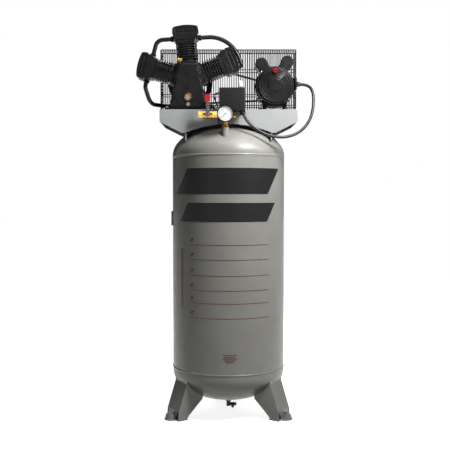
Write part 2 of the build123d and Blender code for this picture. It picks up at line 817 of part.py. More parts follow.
def bent_tube(points, radii, outer, inner):
    """Round tube along straight runs joined by tangent bends."""
    with BuildLine() as route:
        FilletPolyline(*points, radius=radii)
    start = route.line @ 0
    heading = route.line % 0
    with BuildSketch(Plane(origin=start, z_dir=heading)) as ring:
        Circle(outer)
        if inner > 0:
            Circle(inner, mode=Mode.SUBTRACT)
    sweep(ring.sketch, path=route.line)


def across(index):
    """Direction across one cylinder in the pump plane."""
    a = radians(CYLINDERS[index][0])
    return Vector(cos(a), 0, -sin(a))


def port(index, side, along, y):
    """Point at a sideways and a lengthwise distance in one cylinder's frame, at depth y."""
    a = radians(CYLINDERS[index][0])
    return Vector(PUMP_X, y, CRANK_Z) + across(index) * side + Vector(sin(a), 0, cos(a)) * along


def crossing(start, heading, other, other_heading):
    """Point where two lines of the pump plane meet."""
    gap = other - start
    slant = heading.X * other_heading.Z - heading.Z * other_heading.X
    return start + heading * ((gap.X * other_heading.Z - gap.Z * other_heading.X) / slant)


# each tube end stands off its head by this much inside the union nut
TUBE_END = 1.5
PORT_D = 181.0
PORT_SIDE = BASE_W / 2 + TUBE_END
LEFT_TUBE_Y = -52.0
RIGHT_TUBE_Y = -38.0
RETURN_Z = 1406.0
RETURN_Y = CHECK_XY[1]
LEFT_START = port(1, -PORT_SIDE, PORT_D, LEFT_TUBE_Y)
LEFT_IN = port(0, PORT_SIDE, PORT_D, LEFT_TUBE_Y)
LEFT_OUT = port(0, -PORT_SIDE, PORT_D, CYLINDERS[0][1])
RIGHT_START = port(1, PORT_SIDE, PORT_D, RIGHT_TUBE_Y)
RIGHT_ELBOW = port(2, 36, HEAD_TOP + 13, RIGHT_TUBE_Y)
RIGHT_IN = port(2, 36, HEAD_TOP - TUBE_END, RIGHT_TUBE_Y)
with BuildPart() as discharge_tubes:
    bent_tube(
        (LEFT_START, crossing(LEFT_START, across(1), LEFT_IN, across(0)), LEFT_IN),
        [36],
        TUBE_R,
        7.5,
    )
    bent_tube(
        (RIGHT_START, crossing(RIGHT_START, across(1), RIGHT_ELBOW, across(2)), RIGHT_ELBOW, RIGHT_IN),
        [140, 12],
        TUBE_R,
        7.5,
    )
    bent_tube(
        (
            LEFT_OUT,
            LEFT_OUT - across(0) * 30,
            (-352, -46, RETURN_Z),
            (-292, RETURN_Y, RETURN_Z),
            (CHECK_XY[0], RETURN_Y, RETURN_Z),
            (CHECK_XY[0], RETURN_Y, 1353),
        ),
        [36, 44, 50, 20],
        TUBE_R,
        7.5,
    )
save(discharge_tubes, "discharge_tubes")


def tube_nut(origin, z_dir, height):
    """Hexagon union nut around a tube end."""
    with BuildSketch(Plane(origin=origin, z_dir=z_dir)) as hexagon:
        RegularPolygon(13, 6)
        Circle(TUBE_R + 0.05, mode=Mode.SUBTRACT)
    extrude(hexagon.sketch, amount=height)


with BuildPart() as tube_nuts:
    tube_nut(LEFT_START + across(1) * TUBE_END, across(1) * -1, 14)
    tube_nut(RIGHT_START - across(1) * TUBE_END, across(1), 14)
    tube_nut(LEFT_IN - across(0) * TUBE_END, across(0), 14)
    tube_nut(LEFT_OUT + across(0) * TUBE_END, across(0) * -1, 12)
    tube_nut((CHECK_XY[0], RETURN_Y, 1352), (0, 0, 1), 12)
save(tube_nuts, "tube_nuts")

# ---------------------------------------------------------------- motor
AXIS = (MOTOR_X, MOTOR_Z)
with BuildPart() as motor_shell:
    with BuildSketch(facing(20)):
        with Locations(AXIS):
            Circle(MOTOR_R)
    extrude(amount=120)
    # welded foot and terminal box
    with BuildSketch(Plane.XY.offset(DECK_Z)):
        with Locations((MOTOR_X, -36)):
            RectangleRounded(150, 130, 8)
    extrude(amount=FOOT_T)
    with BuildSketch(facing(10)):
        with BuildLine():
            Polyline(
                (MOTOR_X - 50, DECK_Z + FOOT_T),
                (MOTOR_X + 50, DECK_Z + FOOT_T),
                (MOTOR_X + 62, MOTOR_Z - 40),
                (MOTOR_X - 62, MOTOR_Z - 40),
                close=True,
            )
        make_face()
    extrude(amount=96)
    with BuildSketch(facing(-66)):
        with Locations((MOTOR_X + 70, 1486)):
            RectangleRounded(52, 56, 5)
    extrude(amount=64)
    with BuildSketch(facing(20)):
        with Locations(AXIS):
            Circle(MOTOR_R - 4)
    extrude(amount=150, mode=Mode.SUBTRACT)
    with BuildSketch(facing(-96)):
        with Locations(AXIS):
            Circle(MOTOR_R - 4)
    extrude(amount=40, mode=Mode.SUBTRACT)
    with BuildSketch(facing(-100)):
        with Locations(AXIS):
            Circle(90)
    extrude(amount=40, mode=Mode.SUBTRACT)
    with BuildSketch(Plane.XY.offset(DECK_Z)):
        with Locations(*BOLTS_MOTOR):
            Circle(5.4)
    extrude(amount=FOOT_T, mode=Mode.SUBTRACT)
    with BuildSketch(facing(10)):
        with Locations((MOTOR_X, DECK_Z + FOOT_T + 10)):
            RectangleRounded(70, 20, 6)
    extrude(amount=96, mode=Mode.SUBTRACT)
save(motor_shell, "motor_shell")

with BuildPart() as motor_bell_front:
    with BuildSketch(facing(-100)):
        with Locations(AXIS):
            Circle(88)
    extrude(amount=12)
    with BuildSketch(facing(-112)):
        with Locations(AXIS):
            Circle(86)
    extrude(amount=26, taper=8)
    with BuildSketch(facing(-138)):
        with Locations(AXIS):
            Circle(74)
    extrude(amount=6)
    with BuildSketch(facing(-144)):
        with Locations(AXIS):
            Circle(28)
    extrude(amount=6)
    with BuildSketch(facing(-100)):
        with Locations(AXIS):
            Circle(78)
    extrude(amount=32, mode=Mode.SUBTRACT)
    # concentric ribs with air slots between them
    with BuildSketch(facing(-136)):
        with Locations(AXIS):
            for mid in (40, 52):
                with PolarLocations(0, 6, start_angle=30):
                    SlotArc(CenterArc((0, 0), mid, -20, 40, mode=Mode.PRIVATE), 6)
    extrude(amount=10, mode=Mode.SUBTRACT)
    with BuildSketch(facing(-132)):
        with Locations(AXIS):
            Circle(24)
    extrude(amount=-24)
    with BuildSketch(facing(-108)):
        with Locations(AXIS):
            Circle(20)
    extrude(amount=34, mode=Mode.SUBTRACT)
    with BuildSketch(facing(-100)):
        with Locations((MOTOR_X, MOTOR_Z + 64)):
            Circle(11.5)
    extrude(amount=60, mode=Mode.SUBTRACT)
save(motor_bell_front, "motor_bell_front")

with BuildPart() as motor_bell_rear:
    with BuildSketch(facing(50)):
        with Locations(AXIS):
            Circle(60)
    extrude(amount=8)
    with BuildSketch(facing(42)):
        with Locations(AXIS):
            Circle(82)
    extrude(amount=22)
    with BuildSketch(facing(42)):
        with Locations(AXIS):
            Circle(76)
            Circle(24, mode=Mode.SUBTRACT)
    extrude(amount=22, mode=Mode.SUBTRACT)
    with BuildSketch(facing(44)):
        with Locations(AXIS):
            Circle(20)
    extrude(amount=24, mode=Mode.SUBTRACT)
    with BuildSketch(facing(50)):
        with Locations(AXIS):
            Circle(MOTOR_SHAFT_R + 0.5)
    extrude(amount=10, mode=Mode.SUBTRACT)
save(motor_bell_rear, "motor_bell_rear")

with BuildPart() as motor_stator:
    with BuildSketch(facing(-5)):
        with Locations(AXIS):
            Circle(MOTOR_R - 4)
            Circle(50, mode=Mode.SUBTRACT)
    extrude(amount=70)
    for y in (10, -75):
        with BuildSketch(facing(y)):
            with Locations(AXIS):
                Circle(72)
                Circle(54, mode=Mode.SUBTRACT)
        extrude(amount=15)
save(motor_stator, "motor_stator")

with BuildPart() as motor_rotor:
    with BuildSketch(facing(BELT_Y + 14)):
        with Locations(AXIS):
            Circle(MOTOR_SHAFT_R - RUN_GAP)
    extrude(amount=BELT_Y + 14 + 131)
    with BuildSketch(facing(-5)):
        with Locations(AXIS):
            Circle(49.4)
    extrude(amount=70)
    # cooling fan
    with BuildSketch(facing(-94)):
        with Locations(AXIS):
            Circle(46)
    extrude(amount=3)
    with BuildSketch(facing(-97)):
        with Locations(AXIS):
            with PolarLocations(0, 9):
                with Locations((46, 0)):
                    Rectangle(40, 3)
    extrude(amount=10)
save(motor_rotor, "motor_rotor")

CAP_SPOTS = ((-58.0, 101.0), (56.0, 110.0))
with BuildPart() as capacitor_covers:
    for dx, dz in CAP_SPOTS:
        lean = -degrees(atan2(dx, dz))
        with BuildSketch(facing(3)):
            with Locations((MOTOR_X + dx, MOTOR_Z + dz)):
                Circle(28)
            with Locations(Location((MOTOR_X + dx * 0.8, MOTOR_Z + dz * 0.8, 0), (0, 0, lean))):
                Rectangle(52, 44)
        extrude(amount=102)
    with BuildSketch(facing(20)):
        with Locations(AXIS):
            Circle(MOTOR_R)
    extrude(amount=160, mode=Mode.SUBTRACT)
    for dx, dz in CAP_SPOTS:
        with BuildSketch(facing(0)):
            with Locations((MOTOR_X + dx, MOTOR_Z + dz)):
                Circle(25)
        extrude(amount=96, mode=Mode.SUBTRACT)
save(capacitor_covers, "capacitor_covers")

with BuildPart() as capacitors:
    for dx, dz in CAP_SPOTS:
        with BuildSketch(facing(-2)):
            with Locations((MOTOR_X + dx, MOTOR_Z + dz)):
                Circle(21)
        extrude(amount=80)
save(capacitors, "capacitors")

with BuildPart() as reset_button:
    with BuildSketch(facing(-140)):
        with Locations((MOTOR_X, MOTOR_Z + 64)):
            Circle(11.4)
    extrude(amount=14)
save(reset_button, "reset_button")

with BuildPart() as motor_pulley:
    grooved_rim(MOTOR_X, MOTOR_Z, MOTOR_PITCH + 7, MOTOR_PITCH, 24)
    with BuildSketch(facing(BELT_Y - 12)):
        with Locations(AXIS):
            Circle(19)
    extrude(amount=14)
    with BuildSketch(facing(BELT_Y + 30)):
        with Locations(AXIS):
            Circle(MOTOR_SHAFT_R - RUN_GAP)
    extrude(amount=90, mode=Mode.SUBTRACT)
save(motor_pulley, "motor_pulley")

SPAN_X = MOTOR_X - PUMP_X
SPAN_Z = MOTOR_Z - CRANK_Z
SPAN = sqrt(SPAN_X**2 + SPAN_Z**2)


def belt_loop(offset):
    """Face inside a loop of two arcs and two tangents round both pulleys."""
    r1 = WHEEL_PITCH + offset
    r2 = MOTOR_PITCH + offset
    tilt = asin((r1 - r2) / SPAN)
    ux = SPAN_X / SPAN
    uz = SPAN_Z / SPAN
    top = (-uz * cos(tilt) + ux * sin(tilt), ux * cos(tilt) + uz * sin(tilt))
    low = (uz * cos(tilt) + ux * sin(tilt), -ux * cos(tilt) + uz * sin(tilt))
    a1 = (PUMP_X + r1 * top[0], CRANK_Z + r1 * top[1])
    a2 = (PUMP_X + r1 * low[0], CRANK_Z + r1 * low[1])
    b1 = (MOTOR_X + r2 * top[0], MOTOR_Z + r2 * top[1])
    b2 = (MOTOR_X + r2 * low[0], MOTOR_Z + r2 * low[1])
    with BuildLine() as loop:
        ThreePointArc(a1, (PUMP_X - r1 * ux, CRANK_Z - r1 * uz), a2)
        Line(a2, b2)
        ThreePointArc(b2, (MOTOR_X + r2 * ux, MOTOR_Z + r2 * uz), b1)
        Line(b1, a1)
    make_face(loop.edges())


with BuildPart() as belt:
    with BuildSketch(facing(BELT_Y + 6)):
        belt_loop(4)
    extrude(amount=12)
    with BuildSketch(facing(BELT_Y + 6)):
        belt_loop(-4)
    extrude(amount=12, mode=Mode.SUBTRACT)
save(belt, "belt")

# ---------------------------------------------------------------- belt guard
GUARD_H = GUARD_TOP - DECK_Z
BAR_COUNT = 45
RAILS = (1408.0, 1456.0, 1570.0)


def grille(y, openings):
    """Flat wire panel with round openings for the shafts."""
    with BuildSketch(facing(y)) as panel:
        with Locations((0, DECK_Z + GUARD_H / 2)):
            Rectangle(2 * GUARD_X, GUARD_H)
            Rectangle(2 * GUARD_X - 10, GUARD_H - 10, mode=Mode.SUBTRACT)
        with Locations((0, DECK_Z + GUARD_H / 2)):
            with GridLocations((2 * GUARD_X - 5) / (BAR_COUNT + 1), 0, BAR_COUNT, 1):
                Rectangle(WIRE, GUARD_H - 6)
        with Locations(*[(0, z) for z in RAILS]):
            Rectangle(2 * GUARD_X - 6, WIRE)
        for x, z, r in openings:
            with Locations((x, z)):
                Circle(r)
        for x, z, r in openings:
            with Locations((x, z)):
                Circle(r - 4, mode=Mode.SUBTRACT)
    extrude(panel.sketch, amount=WIRE)


with BuildPart() as guard_front:
    grille(GUARD_FRONT + WIRE, ((PUMP_X, CRANK_Z, 46), (MOTOR_X, MOTOR_Z, 30)))
save(guard_front, "guard_front")

with BuildPart() as guard_back:
    grille(GUARD_BACK, ())
save(guard_back, "guard_back")

with BuildPart() as guard_rim:
    with BuildSketch(facing(GUARD_BACK - WIRE)):
        with Locations((0, DECK_Z + GUARD_H / 2)):
            Rectangle(2 * GUARD_X, GUARD_H)
            Rectangle(2 * GUARD_X - 6, GUARD_H - 6, mode=Mode.SUBTRACT)
    extrude(amount=GUARD_BACK - GUARD_FRONT - 2 * WIRE)
    rim_mid = (GUARD_FRONT + GUARD_BACK) / 2
    with BuildSketch(Plane.XY.offset(GUARD_TOP + 1)):
        with Locations((0, rim_mid)):
            with GridLocations(15, 24, 40, 3):
                Rectangle(12, 21)
    extrude(amount=-5, mode=Mode.SUBTRACT)
    for x in (-GUARD_X - 1, GUARD_X - 4):
        with BuildSketch(Plane.YZ.offset(x)):
            with Locations((rim_mid, DECK_Z + GUARD_H / 2)):
                with GridLocations(24, 15, 3, 18):
                    Rectangle(21, 12)
        extrude(amount=5, mode=Mode.SUBTRACT)
save(guard_rim, "guard_rim")

# ---------------------------------------------------------------- controls
with BuildPart() as manifold:
    with BuildSketch(Plane.YZ.offset(-36)):
        with Locations((CTRL_Y, CTRL_Z)):
            RectangleRounded(26, 26, 5)
    extrude(amount=68)
    with BuildSketch(Plane.XY.offset(CTRL_Z)):
        with Locations((NIPPLE_X, CTRL_Y)):
            Circle(10.5)
    extrude(amount=-(CTRL_Z - 1286))
    with BuildSketch(Plane.XY.offset(1286)):
        with Locations((NIPPLE_X, CTRL_Y)):
            RegularPolygon(15, 6)
    extrude(amount=12)
    with BuildSketch(Plane.XY.offset(1286)):
        with Locations((NIPPLE_X, CTRL_Y)):
            Circle(8.9)
    extrude(amount=-16)
    with BuildSketch(Plane.XY.offset(CTRL_Z)):
        with Locations((SWITCH_X, CTRL_Y)):
            Circle(8)
    extrude(amount=17)
    with BuildSketch(Plane.XY.offset(1262)):
        with Locations((NIPPLE_X, CTRL_Y)):
            Circle(6)
    extrude(amount=CTRL_Z - 1262, mode=Mode.SUBTRACT)
    with BuildSketch(Plane.YZ.offset(-40)):
        with Locations((CTRL_Y, CTRL_Z)):
            Circle(6)
    extrude(amount=60, mode=Mode.SUBTRACT)
    with BuildSketch(Plane.XY.offset(CTRL_Z)):
        with Locations((SWITCH_X, CTRL_Y)):
            Circle(4)
    extrude(amount=30, mode=Mode.SUBTRACT)
    with BuildSketch(facing(CTRL_Y)):
        with Locations((NIPPLE_X, CTRL_Z)):
            Circle(4)
    extrude(amount=30, mode=Mode.SUBTRACT)
save(manifold, "manifold")

with BuildPart() as check_valve:
    with BuildSketch(Plane.XY.offset(1326)):
        with Locations(CHECK_XY):
            RegularPolygon(15, 6)
    extrude(amount=26)
    with BuildSketch(Plane.XY.offset(1326)):
        with Locations(CHECK_XY):
            Circle(8.9)
    extrude(amount=-16)
    with BuildSketch(facing(CHECK_XY[1])):
        with Locations((CHECK_XY[0], 1336)):
            Circle(6)
    extrude(amount=20)
    with BuildSketch(Plane.XY.offset(1300)):
        with Locations(CHECK_XY):
            Circle(6)
    extrude(amount=60, mode=Mode.SUBTRACT)
    with BuildSketch(facing(CHECK_XY[1] - 8)):
        with Locations((CHECK_XY[0], 1336)):
            Circle(3.1)
    extrude(amount=20, mode=Mode.SUBTRACT)
save(check_valve, "check_valve")

with BuildPart() as unloader_tube:
    bent_tube(
        (
            (-41.5, -196, 1438),
            (-66, -190, 1430),
            (-46, -178, 1376),
            (-42, -176, 1288),
            (-60, -20, 1336),
            (-60, 32, 1336),
        ),
        [8, 20, 20, 60],
        3,
        2,
    )
save(unloader_tube, "unloader_tube")

BOX_X = 15.0
BOX_W = 112.0
BOX_Y = -204.0
BOX_D = 64.0
BASE_Z = 1357.0
COVER_Z = 1373.0
BOX_TOP = 1456.0
LEVER_X = 51.0
LEVER_Z = 1448.0
with BuildPart() as switch_base:
    with BuildSketch(Plane.XY.offset(BASE_Z + 2)):
        with Locations((BOX_X, BOX_Y)):
            RectangleRounded(BOX_W, BOX_D, 6)
    extrude(amount=COVER_Z - BASE_Z - 2)
    with BuildSketch(Plane.XY.offset(COVER_Z)):
        with Locations((BOX_X, BOX_Y)):
            RectangleRounded(BOX_W - 10, BOX_D - 10, 4)
    extrude(amount=6)
    # diaphragm housing and contact block
    with BuildSketch(Plane.XY.offset(COVER_Z + 6)):
        with Locations((BOX_X - 8, BOX_Y)):
            Circle(22)
    extrude(amount=24)
    with BuildSketch(Plane.XY.offset(COVER_Z + 6)):
        with Locations((BOX_X + 34, BOX_Y)):
            Rectangle(26, 44)
    extrude(amount=58)
    with BuildSketch(Plane.XY.offset(COVER_Z + 64)):
        with Locations((LEVER_X, BOX_Y - 9), (LEVER_X, BOX_Y + 9)):
            Rectangle(10, 6)
    extrude(amount=16)
    with BuildSketch(facing(BOX_Y + 12)):
        with Locations((LEVER_X, LEVER_Z)):
            Circle(2)
    extrude(amount=24)
    with BuildSketch(Plane.XY.offset(BASE_Z)):
        with Locations((SWITCH_X, CTRL_Y)):
            Circle(8.1)
    extrude(amount=3, mode=Mode.SUBTRACT)
    with BuildSketch(Plane.XY.offset(BASE_Z + 2)):
        with Locations((57, BOX_Y)):
            Circle(9)
    extrude(amount=4, mode=Mode.SUBTRACT)
save(switch_base, "switch_base")

with BuildPart() as switch_cover:
    with BuildSketch(Plane.XY.offset(COVER_Z)):
        with Locations((BOX_X, BOX_Y)):
            RectangleRounded(BOX_W, BOX_D, 6)
    extrude(amount=BOX_TOP - COVER_Z)
    fillet(switch_cover.faces().sort_by(Axis.Z)[-1].edges(), 4)
    with BuildSketch(Plane.XY.offset(COVER_Z)):
        with Locations((BOX_X, BOX_Y)):
            RectangleRounded(BOX_W - 6, BOX_D - 6, 4)
    extrude(amount=BOX_TOP - COVER_Z - 3, mode=Mode.SUBTRACT)
    with BuildSketch(Plane.XY.offset(BOX_TOP - 5)):
        with Locations((LEVER_X - 2, BOX_Y)):
            Rectangle(22, 8)
    extrude(amount=10, mode=Mode.SUBTRACT)
    with BuildSketch(Plane.YZ.offset(BOX_X - BOX_W / 2 - 2)):
        with Locations((-196, 1438)):
            Circle(3.3)
    extrude(amount=8, mode=Mode.SUBTRACT)
save(switch_cover, "switch_cover")

with BuildPart() as switch_lever:
    with BuildSketch(facing(BOX_Y + 3)):
        with Locations((LEVER_X, LEVER_Z)):
            Circle(4)
        with Locations((LEVER_X, LEVER_Z + 14)):
            Rectangle(5, 28)
        with Locations((LEVER_X, LEVER_Z)):
            Circle(2 + RUN_GAP, mode=Mode.SUBTRACT)
    extrude(amount=6)
    with BuildSketch(Plane.XY.offset(LEVER_Z + 14)):
        with Locations((LEVER_X, BOX_Y)):
            Circle(10.5)
    extrude(amount=26)
    fillet(switch_lever.faces().sort_by(Axis.Z)[-1].edges(), 8)
save(switch_lever, "switch_lever")

with BuildPart() as gauge_case:
    with BuildSketch(facing(GAUGE_FACE + 24)):
        with Locations((NIPPLE_X, CTRL_Z)):
            Circle(GAUGE_R)
    extrude(amount=24)
    with BuildSketch(facing(GAUGE_FACE + 24)):
        with Locations((NIPPLE_X, CTRL_Z)):
            Circle(7)
    extrude(amount=-(CTRL_Y - 13 - GAUGE_FACE - 24))
    with BuildSketch(facing(GAUGE_FACE + 20)):
        with Locations((NIPPLE_X, CTRL_Z)):
            Circle(GAUGE_R - 3)
    extrude(amount=24, mode=Mode.SUBTRACT)
save(gauge_case, "gauge_case")

with BuildPart() as gauge_dial:
    with BuildSketch(facing(GAUGE_FACE + 20)):
        with Locations((NIPPLE_X, CTRL_Z)):
            Circle(GAUGE_R - 3)
    extrude(amount=12)
    with BuildSketch(facing(GAUGE_FACE + 8)):
        with Locations((NIPPLE_X, CTRL_Z)):
            Circle(1.2)
    extrude(amount=2.5)
save(gauge_dial, "gauge_dial")

with BuildPart() as gauge_needle:
    with BuildSketch(facing(GAUGE_FACE + 7)):
        with Locations((NIPPLE_X, CTRL_Z)):
            Circle(3)
        with Locations(Location((NIPPLE_X, CTRL_Z, 0), (0, 0, 225))):
            with Locations((9, 0)):
                Rectangle(30, 1.6)
        with Locations((NIPPLE_X, CTRL_Z)):
            Circle(1.25, mode=Mode.SUBTRACT)
    extrude(amount=1.4)
save(gauge_needle, "gauge_needle")

with BuildPart() as gauge_lens:
    with BuildSketch(facing(GAUGE_FACE + 3)):
        with Locations((NIPPLE_X, CTRL_Z)):
            Circle(GAUGE_R - 3)
    extrude(amount=2)
save(gauge_lens, "gauge_lens")

VALVE_HALF = 40.0
with BuildPart() as valve_body:
    with BuildSketch(Plane.YZ.offset(VALVE_X - VALVE_HALF)):
        with Locations((CTRL_Y, CTRL_Z)):
            RegularPolygon(16, 6)
    extrude(amount=20)
    with BuildSketch(Plane.YZ.offset(VALVE_X + VALVE_HALF - 20)):
        with Locations((CTRL_Y, CTRL_Z)):
            RegularPolygon(16, 6)
    extrude(amount=20)
    with BuildSketch(Plane.YZ.offset(VALVE_X - 21)):
        with Locations((CTRL_Y, CTRL_Z)):
            Circle(17)
    extrude(amount=42)
    # close nipple into the manifold
    with BuildSketch(Plane.YZ.offset(VALVE_X + VALVE_HALF)):
        with Locations((CTRL_Y, CTRL_Z)):
            Circle(9)
    extrude(amount=14)
    with BuildSketch(facing(CTRL_Y)):
        with Locations((VALVE_X, CTRL_Z)):
            Circle(9)
    extrude(amount=27)
    with BuildSketch(Plane.YZ.offset(VALVE_X - 50)):
        with Locations((CTRL_Y, CTRL_Z)):
            Circle(7)
    extrude(amount=110, mode=Mode.SUBTRACT)
    with BuildSketch(Plane.YZ.offset(VALVE_X - VALVE_HALF)):
        with Locations((CTRL_Y, CTRL_Z)):
            Circle(9.5)
    extrude(amount=15, mode=Mode.SUBTRACT)
    with Locations((VALVE_X, CTRL_Y, CTRL_Z)):
        Sphere(13, mode=Mode.SUBTRACT)
    with BuildSketch(facing(CTRL_Y)):
        with Locations((VALVE_X, CTRL_Z)):
            Circle(4.1)
    extrude(amount=30, mode=Mode.SUBTRACT)
save(valve_body, "valve_body")

HANDLE_Y = CTRL_Y - 31.0
with BuildPart() as valve_ball:
    with Locations((VALVE_X, CTRL_Y, CTRL_Z)):
        Sphere(12.9)
    with BuildSketch(facing(CTRL_Y - 10)):
        with Locations((VALVE_X, CTRL_Z)):
            Circle(4)
    extrude(amount=26)
    with BuildSketch(Plane.XY.offset(CTRL_Z - 20)):
        with Locations((VALVE_X, CTRL_Y)):
            Circle(7)
    extrude(amount=40, mode=Mode.SUBTRACT)
save(valve_ball, "valve_ball")

with BuildPart() as valve_handle:
    with BuildSketch(facing(HANDLE_Y + 3)):
        with Locations((VALVE_X, CTRL_Z)):
            Circle(12)
        with Locations((VALVE_X, CTRL_Z + 30)):
            Rectangle(14, 60)
        with Locations((VALVE_X, CTRL_Z)):
            Circle(4, mode=Mode.SUBTRACT)
    extrude(amount=3)
save(valve_handle, "valve_handle")

with BuildPart() as valve_grip:
    with BuildSketch(facing(HANDLE_Y + 6)):
        with Locations((VALVE_X, CTRL_Z + 68)):
            RectangleRounded(24, 34, 7)
    extrude(amount=9)
    with BuildSketch(facing(HANDLE_Y + 3)):
        with Locations((VALVE_X, CTRL_Z + 30)):
            Rectangle(14, 60)
    extrude(amount=3, mode=Mode.SUBTRACT)
save(valve_grip, "valve_grip")

# ---------------------------------------------------------------- cable and glands
END_POINT = Vector(*CABLE_POINTS[-1])
END_DIR = (END_POINT - Vector(*CABLE_POINTS[-2])).normalized()
with BuildPart() as cable_glands:
    with BuildSketch(Plane(origin=(301, -105, 1486), z_dir=(1, 0, 0))):
        RegularPolygon(12, 6)
    extrude(amount=8)
    with BuildSketch(Plane(origin=(309, -105, 1486), z_dir=(1, 0, 0))):
        Circle(10)
    extrude(amount=12, taper=8)
    with BuildSketch(Plane(origin=(300, -105, 1486), z_dir=(1, 0, 0))):
        Circle(CABLE_D / 2 + 0.3)
    extrude(amount=40, mode=Mode.SUBTRACT)
    with BuildSketch(Plane(origin=END_POINT - END_DIR * 18, z_dir=END_DIR)):
        Circle(12)
        Circle(CABLE_D / 2 + 0.3, mode=Mode.SUBTRACT)
    extrude(amount=24)
    with BuildSketch(Plane.XY.offset(BASE_Z + 2)):
        with Locations((57, BOX_Y)):
            Rectangle(60, 60)
    extrude(amount=30, mode=Mode.SUBTRACT)
save(cable_glands, "cable_glands")

with BuildPart() as motor_cable:
    bent_tube(CABLE_POINTS, list(CABLE_RADII), CABLE_D / 2, 0)
save(motor_cable, "motor_cable")
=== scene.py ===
import json
from math import asin, cos, pi, radians, sin, sqrt

import bmesh
import bpy
from mathutils import Matrix, Vector

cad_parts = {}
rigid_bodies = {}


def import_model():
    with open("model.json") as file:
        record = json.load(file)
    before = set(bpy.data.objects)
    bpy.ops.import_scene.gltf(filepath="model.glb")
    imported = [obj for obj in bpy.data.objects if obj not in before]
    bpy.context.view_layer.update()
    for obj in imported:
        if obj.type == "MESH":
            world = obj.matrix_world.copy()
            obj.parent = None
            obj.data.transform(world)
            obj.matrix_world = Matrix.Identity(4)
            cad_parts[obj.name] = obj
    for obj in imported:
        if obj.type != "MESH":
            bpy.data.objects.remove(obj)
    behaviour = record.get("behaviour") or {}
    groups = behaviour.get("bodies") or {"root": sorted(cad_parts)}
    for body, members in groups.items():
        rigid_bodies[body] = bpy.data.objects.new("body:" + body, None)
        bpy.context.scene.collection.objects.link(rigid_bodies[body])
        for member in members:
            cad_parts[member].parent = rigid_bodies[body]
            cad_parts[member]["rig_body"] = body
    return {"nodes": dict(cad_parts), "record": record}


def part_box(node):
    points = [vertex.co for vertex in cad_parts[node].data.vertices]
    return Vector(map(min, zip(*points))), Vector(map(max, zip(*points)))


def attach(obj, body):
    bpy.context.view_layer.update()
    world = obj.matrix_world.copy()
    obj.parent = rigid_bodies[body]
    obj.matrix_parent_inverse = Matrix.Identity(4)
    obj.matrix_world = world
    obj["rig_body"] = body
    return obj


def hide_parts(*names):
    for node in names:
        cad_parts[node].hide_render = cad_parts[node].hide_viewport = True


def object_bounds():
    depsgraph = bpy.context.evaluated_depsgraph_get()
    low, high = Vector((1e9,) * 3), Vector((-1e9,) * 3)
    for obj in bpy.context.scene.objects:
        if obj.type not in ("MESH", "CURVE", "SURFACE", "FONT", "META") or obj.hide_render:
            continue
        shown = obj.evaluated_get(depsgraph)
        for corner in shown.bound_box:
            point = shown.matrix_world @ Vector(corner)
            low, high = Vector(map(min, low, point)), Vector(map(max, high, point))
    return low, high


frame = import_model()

CAD_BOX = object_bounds()
NODES = frame["nodes"]
ROOT = "receiver"


# ---------------------------------------------------------------- places taken from the frame
def centre(node):
    """Middle of a CAD node's box."""
    low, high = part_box(node)
    return (low + high) / 2


TANK_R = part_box("tank_shell")[1].y
GUARD_LOW, GUARD_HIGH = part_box("guard_rim")
GUARD_FRONT_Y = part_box("guard_front")[1].y
GUARD_BACK_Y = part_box("guard_back")[0].y
CRANK_X = centre("crankshaft").x
CRANK_Z = centre("flywheel").z
MOTOR = centre("motor_pulley")
GAUGE = centre("gauge_case")


# ---------------------------------------------------------------- material building
def new_material(name):
    """Empty node material with its principled shader."""
    mat = bpy.data.materials.new(name)
    mat.use_nodes = True
    tree = mat.node_tree
    tree.nodes.clear()
    out = tree.nodes.new("ShaderNodeOutputMaterial")
    shader = tree.nodes.new("ShaderNodeBsdfPrincipled")
    tree.links.new(shader.outputs["BSDF"], out.inputs["Surface"])
    return mat, tree, shader


def position(tree):
    """Object-space position, which rides with the piece."""
    return tree.nodes.new("ShaderNodeTexCoord").outputs["Object"]


def noise(tree, scale, detail=3.0, rough=0.5, stretch=None):
    """Noise factor at a scale in cycles per metre."""
    node = tree.nodes.new("ShaderNodeTexNoise")
    node.inputs["Scale"].default_value = scale
    node.inputs["Detail"].default_value = detail
    node.inputs["Roughness"].default_value = rough
    source = position(tree)
    if stretch:
        mapping = tree.nodes.new("ShaderNodeMapping")
        mapping.inputs["Scale"].default_value = stretch
        tree.links.new(source, mapping.inputs["Vector"])
        source = mapping.outputs["Vector"]
    tree.links.new(source, node.inputs["Vector"])
    return node.outputs["Fac"]


def ramp(tree, factor, stops):
    """Colour ramp over a factor: stops are (place, colour)."""
    node = tree.nodes.new("ShaderNodeValToRGB")
    node.color_ramp.elements[0].position = stops[0][0]
    node.color_ramp.elements[0].color = (*stops[0][1], 1)
    node.color_ramp.elements[1].position = stops[-1][0]
    node.color_ramp.elements[1].color = (*stops[-1][1], 1)
    for place, colour in stops[1:-1]:
        element = node.color_ramp.elements.new(place)
        element.color = (*colour, 1)
    tree.links.new(factor, node.inputs["Fac"])
    return node.outputs["Color"]


def scaled(tree, factor, low, high):
    """Maps a 0 to 1 factor onto a range."""
    node = tree.nodes.new("ShaderNodeMapRange")
    node.inputs["From Min"].default_value = 0.25
    node.inputs["From Max"].default_value = 0.75
    node.inputs["To Min"].default_value = low
    node.inputs["To Max"].default_value = high
    tree.links.new(factor, node.inputs["Value"])
    return node.outputs["Result"]


